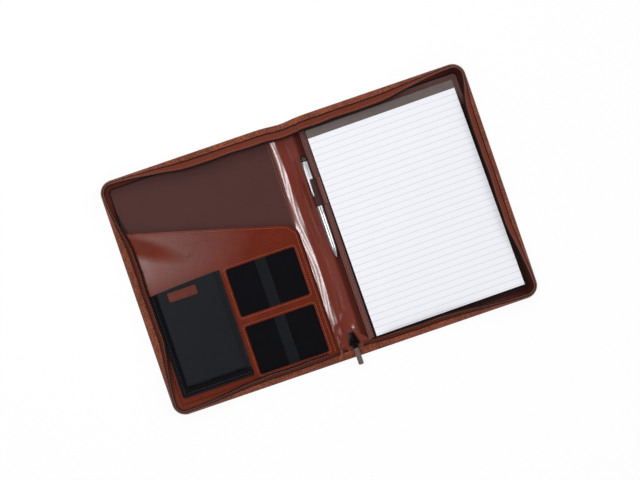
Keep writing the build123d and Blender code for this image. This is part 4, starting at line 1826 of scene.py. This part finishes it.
class PADFOLIO_OT_zip_slider(bpy.types.Operator):
    """Adds the zip's tail, the slider with its bail, and the pull with its leather tab"""

    bl_idname = "padfolio.zip_slider"
    bl_label = "Zip Slider"
    bl_options = {"REGISTER", "UNDO"}

    def execute(self, context):
        self.tail()
        self.slider()
        self.bail()
        self.link()
        self.tab()
        return {"FINISHED"}

    def tail(self):
        low, high = node_box("zip_tail")
        wide, top = 3.9 * MM, mix(low.z, high.z, 0.45)
        seam = high.y - 5.5 * MM
        tape = rounded(block("tail", (-wide, low.y, low.z), (wide, seam, top)), 0.2 * MM, segments=2)
        tape.data.materials.append(coil_plastic())
        corners = (-wide, seam - 4 * MM, low.z), (wide, high.y, top - 0.1 * MM)
        end = plate("tail_end", *corners, radius=3 * MM, edge=0.2 * MM)
        end.data.materials.append(spine_gloss())
        rows = [tape, end]
        for side in (-1, 1):
            x = side * 1.5 * MM
            middle = mix(low.z, high.z, 0.5)
            line = [(x, low.y + 1 * MM, middle), (x, seam - 1 * MM, middle)]
            tooth = bead("tooth_model", (2.9 * MM, 1.2 * MM, 1.1 * MM))
            spots = along_path(line, sizes().tooth_pitch, 0.25 if side > 0 else 0.75)
            teeth = laid_out("teeth", tooth, [seat(spot, (1, 0, 0), (0, 0, 1)) for spot, _ in spots])
            teeth.data.materials.append(coil_plastic())
            rows.append(teeth)
        keep(joined("zip_tail_coil", rows), "zip_tail", "spine")

    def slider(self):
        low, high = node_box("slider_body")
        thick = (high.z - low.z) * 0.36
        plates = []
        for under in (low.z, high.z - thick):
            corners = (low.x, low.y, under), (high.x, high.y, under + thick)
            piece = plate("wing", *corners, radius=2.2 * MM, edge=0.25 * MM)
            for vertex in piece.data.vertices:
                up = (vertex.co.y - low.y) / (high.y - low.y)
                narrow = smoothstep((up - 0.12) / 0.34)
                vertex.co.x *= mix(1.12, 0.6, narrow) - 0.05 * bell(up - 0.5, 0.1)
            plates.append(piece)
        wide, middle = 1.3 * MM, (low.y + high.y) / 2
        corners = (-wide, middle, low.z + thick), (wide, high.y - 1 * MM, high.z - thick)
        neck = rounded(block("neck", *corners), 0.3 * MM)
        piece = joined("slider_wings", [*plates, neck])
        piece.data.materials.clear()
        piece.data.materials.append(slider_metal())
        keep(piece, "slider_body", "zip_slider")

    def bail(self):
        low, high = node_box("slider_bail")
        radius = 0.85 * MM
        top = high.z - radius
        knee = mix(low.z, top, 0.6)
        line = [
            (0, high.y - radius, low.z), (0, high.y - radius, knee), (0, high.y - 2.6 * MM, top),
            (0, low.y + 2.6 * MM, top), (0, low.y + radius, knee), (0, low.y + radius, low.z),
        ]
        piece = tube("slider_wire_bail", line, radius)
        piece.data.materials.append(slider_metal())
        keep(piece, "slider_bail", "zip_slider")

    def link(self):
        low, high = node_box("pull_link")
        radius = 0.75 * MM
        z = (low.z + high.z) / 2
        x = high.x - radius
        y0, y1 = low.y + radius, high.y - radius
        waist = (y0 + y1) / 2
        line = [(-x, y0, z), (x, y0, z), (x, waist, z), (x, y1, z), (-x, y1, z), (-x, waist, z)]
        piece = tube("pull_wire_link", line, radius, closed=True)
        piece.data.materials.append(slider_metal())
        keep(piece, "pull_link", "zip_pull")

    def tab(self):
        low, high = node_box("pull_tab")
        piece = plate("pull_leather_tab", low, high, radius=1.8 * MM, edge=0.5 * MM)
        piece.data.materials.append(pull_leather())
        rows = [piece]
        inset = 1.3 * MM
        sides = (low.x + inset, high.x - inset, low.y + inset, high.y - inset)
        for z in (high.z, low.z):
            path = rounded_box(*sides, z, 1.2 * MM)
            rows.append(stitch_row("seam", path, wall_thread(), width=0.5 * MM, height=0.3 * MM))
        keep(joined("pull_leather_tab", rows), "pull_tab", "zip_pull")


class PadfolioStage(bpy.types.PropertyGroup):
    """The camera and light round the case."""

    camera_height: length("Camera height", "Height of the camera above the floor", 2.0)
    view_width: length("View width", "Width of the picture at the pages' height", 0.860)
    turn: bpy.props.FloatProperty(
        name="Turn", description="How far the case is turned in the picture", default=math.radians(18.9),
        subtype="ANGLE", unit="ROTATION",
    )
    sky: share("Sky", "Strength of the even light from all round", 0.2)
    floor: colour("Floor", "Colour of the floor", 250, 250, 250)


def soft_lamp(name, place, size, watts, target):
    """A rectangular softbox that faces the target."""
    light = bpy.data.lights.new(name, "AREA")
    light.shape = "RECTANGLE"
    light.size, light.size_y = size
    light.energy = watts
    lamp = bpy.data.objects.new(name, light)
    lamp.location = place
    lamp.rotation_euler = (Vector(target) - Vector(place)).to_track_quat("-Z", "Y").to_euler()
    bpy.context.scene.collection.objects.link(lamp)


class PADFOLIO_OT_stage(bpy.types.Operator):
    """Adds the floor, the soft light and the camera straight above the case"""

    bl_idname = "padfolio.stage"
    bl_label = "Stage"
    bl_options = {"REGISTER", "UNDO"}

    white_rays = ("Camera", "Glossy", "Transmission")
    side_size = (1.0, 1.0)
    lamps = {
        "Strip": ((-0.65, 0.2, 1.5), (0.8, 0.13), 10.0, (0, 0.2, 0)),
        "Left": ((-1.4, 0, 1.3), side_size, 2.0, (0, 0, 0)),
        "Right": ((1.55, 0, 1.1), side_size, 10.3, (0, 0, 0)),
        "Upper": ((0, 1.4, 1.3), side_size, 10.9, (0, 0, 0)),
        "Lower": ((0, -1.4, 1.3), side_size, 7.9, (0, 0, 0)),
    }

    def execute(self, context):
        setup = context.scene.padfolio_stage
        context.scene.view_settings.view_transform = "Standard"
        self.floor(setup)
        self.sky(context.scene, setup)
        for name, facts in self.lamps.items():
            soft_lamp(f"{name} softbox", *facts)
        self.camera(context.scene, setup)
        return {"FINISHED"}

    def floor(self, setup):
        deselect()
        bpy.ops.mesh.primitive_plane_add(size=12, location=(0, 0, -0.3 * MM))
        floor = added("studio_floor")
        look = Finish("Pale studio floor")
        rays = sum(look.node("ShaderNodeLightPath", {}, {}, f"Is {kind} Ray") for kind in self.white_rays)
        glow = look.node("ShaderNodeEmission", {}, {"Color": (1, 1, 1, 1), "Strength": 1.0})
        look.shade(Base_Color=(*setup.floor, 1.0), Roughness=0.9, Specular_IOR_Level=0.1)
        plain = Value(look, look.shader.outputs[0])
        pale = look.node("ShaderNodeMixShader", {}, [rays * 0.85, plain, glow])
        output = next(n for n in look.tree.nodes if n.type == "OUTPUT_MATERIAL")
        look.feed(output.inputs["Surface"], pale)
        floor.data.materials.append(look.material)

    def sky(self, scene, setup):
        scene.world = bpy.data.worlds.new("Studio sky")
        scene.world.use_nodes = True
        backdrop = next(n for n in scene.world.node_tree.nodes if n.type == "BACKGROUND")
        backdrop.inputs["Color"].default_value = (1, 1, 1, 1)
        backdrop.inputs["Strength"].default_value = setup.sky

    def camera(self, scene, setup):
        data = bpy.data.cameras.new("Camera")
        data.sensor_width = 36
        page_height = node_box("pad_pages")[0].z
        data.lens = data.sensor_width * (setup.camera_height - page_height) / setup.view_width
        camera = bpy.data.objects.new("Camera", data)
        camera.location = (1.2 * MM, -1.4 * MM, setup.camera_height)
        camera.rotation_euler = (0, 0, -setup.turn)
        scene.collection.objects.link(camera)
        scene.camera = camera


class PADFOLIO_PT_sidebar(bpy.types.Panel):
    """Lists the pieces, the sizes and the colours"""

    bl_idname = "PADFOLIO_PT_sidebar"
    bl_label = "Padfolio"
    bl_space_type = "VIEW_3D"
    bl_region_type = "UI"
    bl_category = "Padfolio"

    def draw(self, context):
        for piece in PIECES:
            self.layout.operator(piece.bl_idname)
        scene = context.scene
        for group in (scene.padfolio_sizes, scene.padfolio_colours, scene.padfolio_stage):
            box = self.layout.box()
            for name in group.__annotations__:
                box.prop(group, name)


PIECES = (
    PADFOLIO_OT_covers,
    PADFOLIO_OT_zip_band,
    PADFOLIO_OT_linings,
    PADFOLIO_OT_spine_strip,
    PADFOLIO_OT_writing_pad,
    PADFOLIO_OT_tablet_pocket,
    PADFOLIO_OT_card_windows,
    PADFOLIO_OT_phone_pocket,
    PADFOLIO_OT_pen_loop,
    PADFOLIO_OT_pen,
    PADFOLIO_OT_zip_slider,
    PADFOLIO_OT_stage,
)
CLASSES = (PadfolioSizes, PadfolioColours, PadfolioStage, *PIECES, PADFOLIO_PT_sidebar)


def register():
    for kind in CLASSES:
        bpy.utils.register_class(kind)
    bpy.types.Scene.padfolio_sizes = bpy.props.PointerProperty(type=PadfolioSizes)
    bpy.types.Scene.padfolio_colours = bpy.props.PointerProperty(type=PadfolioColours)
    bpy.types.Scene.padfolio_stage = bpy.props.PointerProperty(type=PadfolioStage)


def unregister():
    del bpy.types.Scene.padfolio_stage
    del bpy.types.Scene.padfolio_colours
    del bpy.types.Scene.padfolio_sizes
    for kind in reversed(CLASSES):
        bpy.utils.unregister_class(kind)


def main():
    register()
    bpy.ops.padfolio.covers()
    bpy.ops.padfolio.zip_band()
    bpy.ops.padfolio.linings()
    bpy.ops.padfolio.spine_strip()
    bpy.ops.padfolio.writing_pad()
    bpy.ops.padfolio.tablet_pocket()
    bpy.ops.padfolio.card_windows()
    bpy.ops.padfolio.phone_pocket()
    bpy.ops.padfolio.pen_loop()
    bpy.ops.padfolio.pen()
    bpy.ops.padfolio.zip_slider()
    bpy.ops.padfolio.stage()


if __name__ == "__main__":
    main()
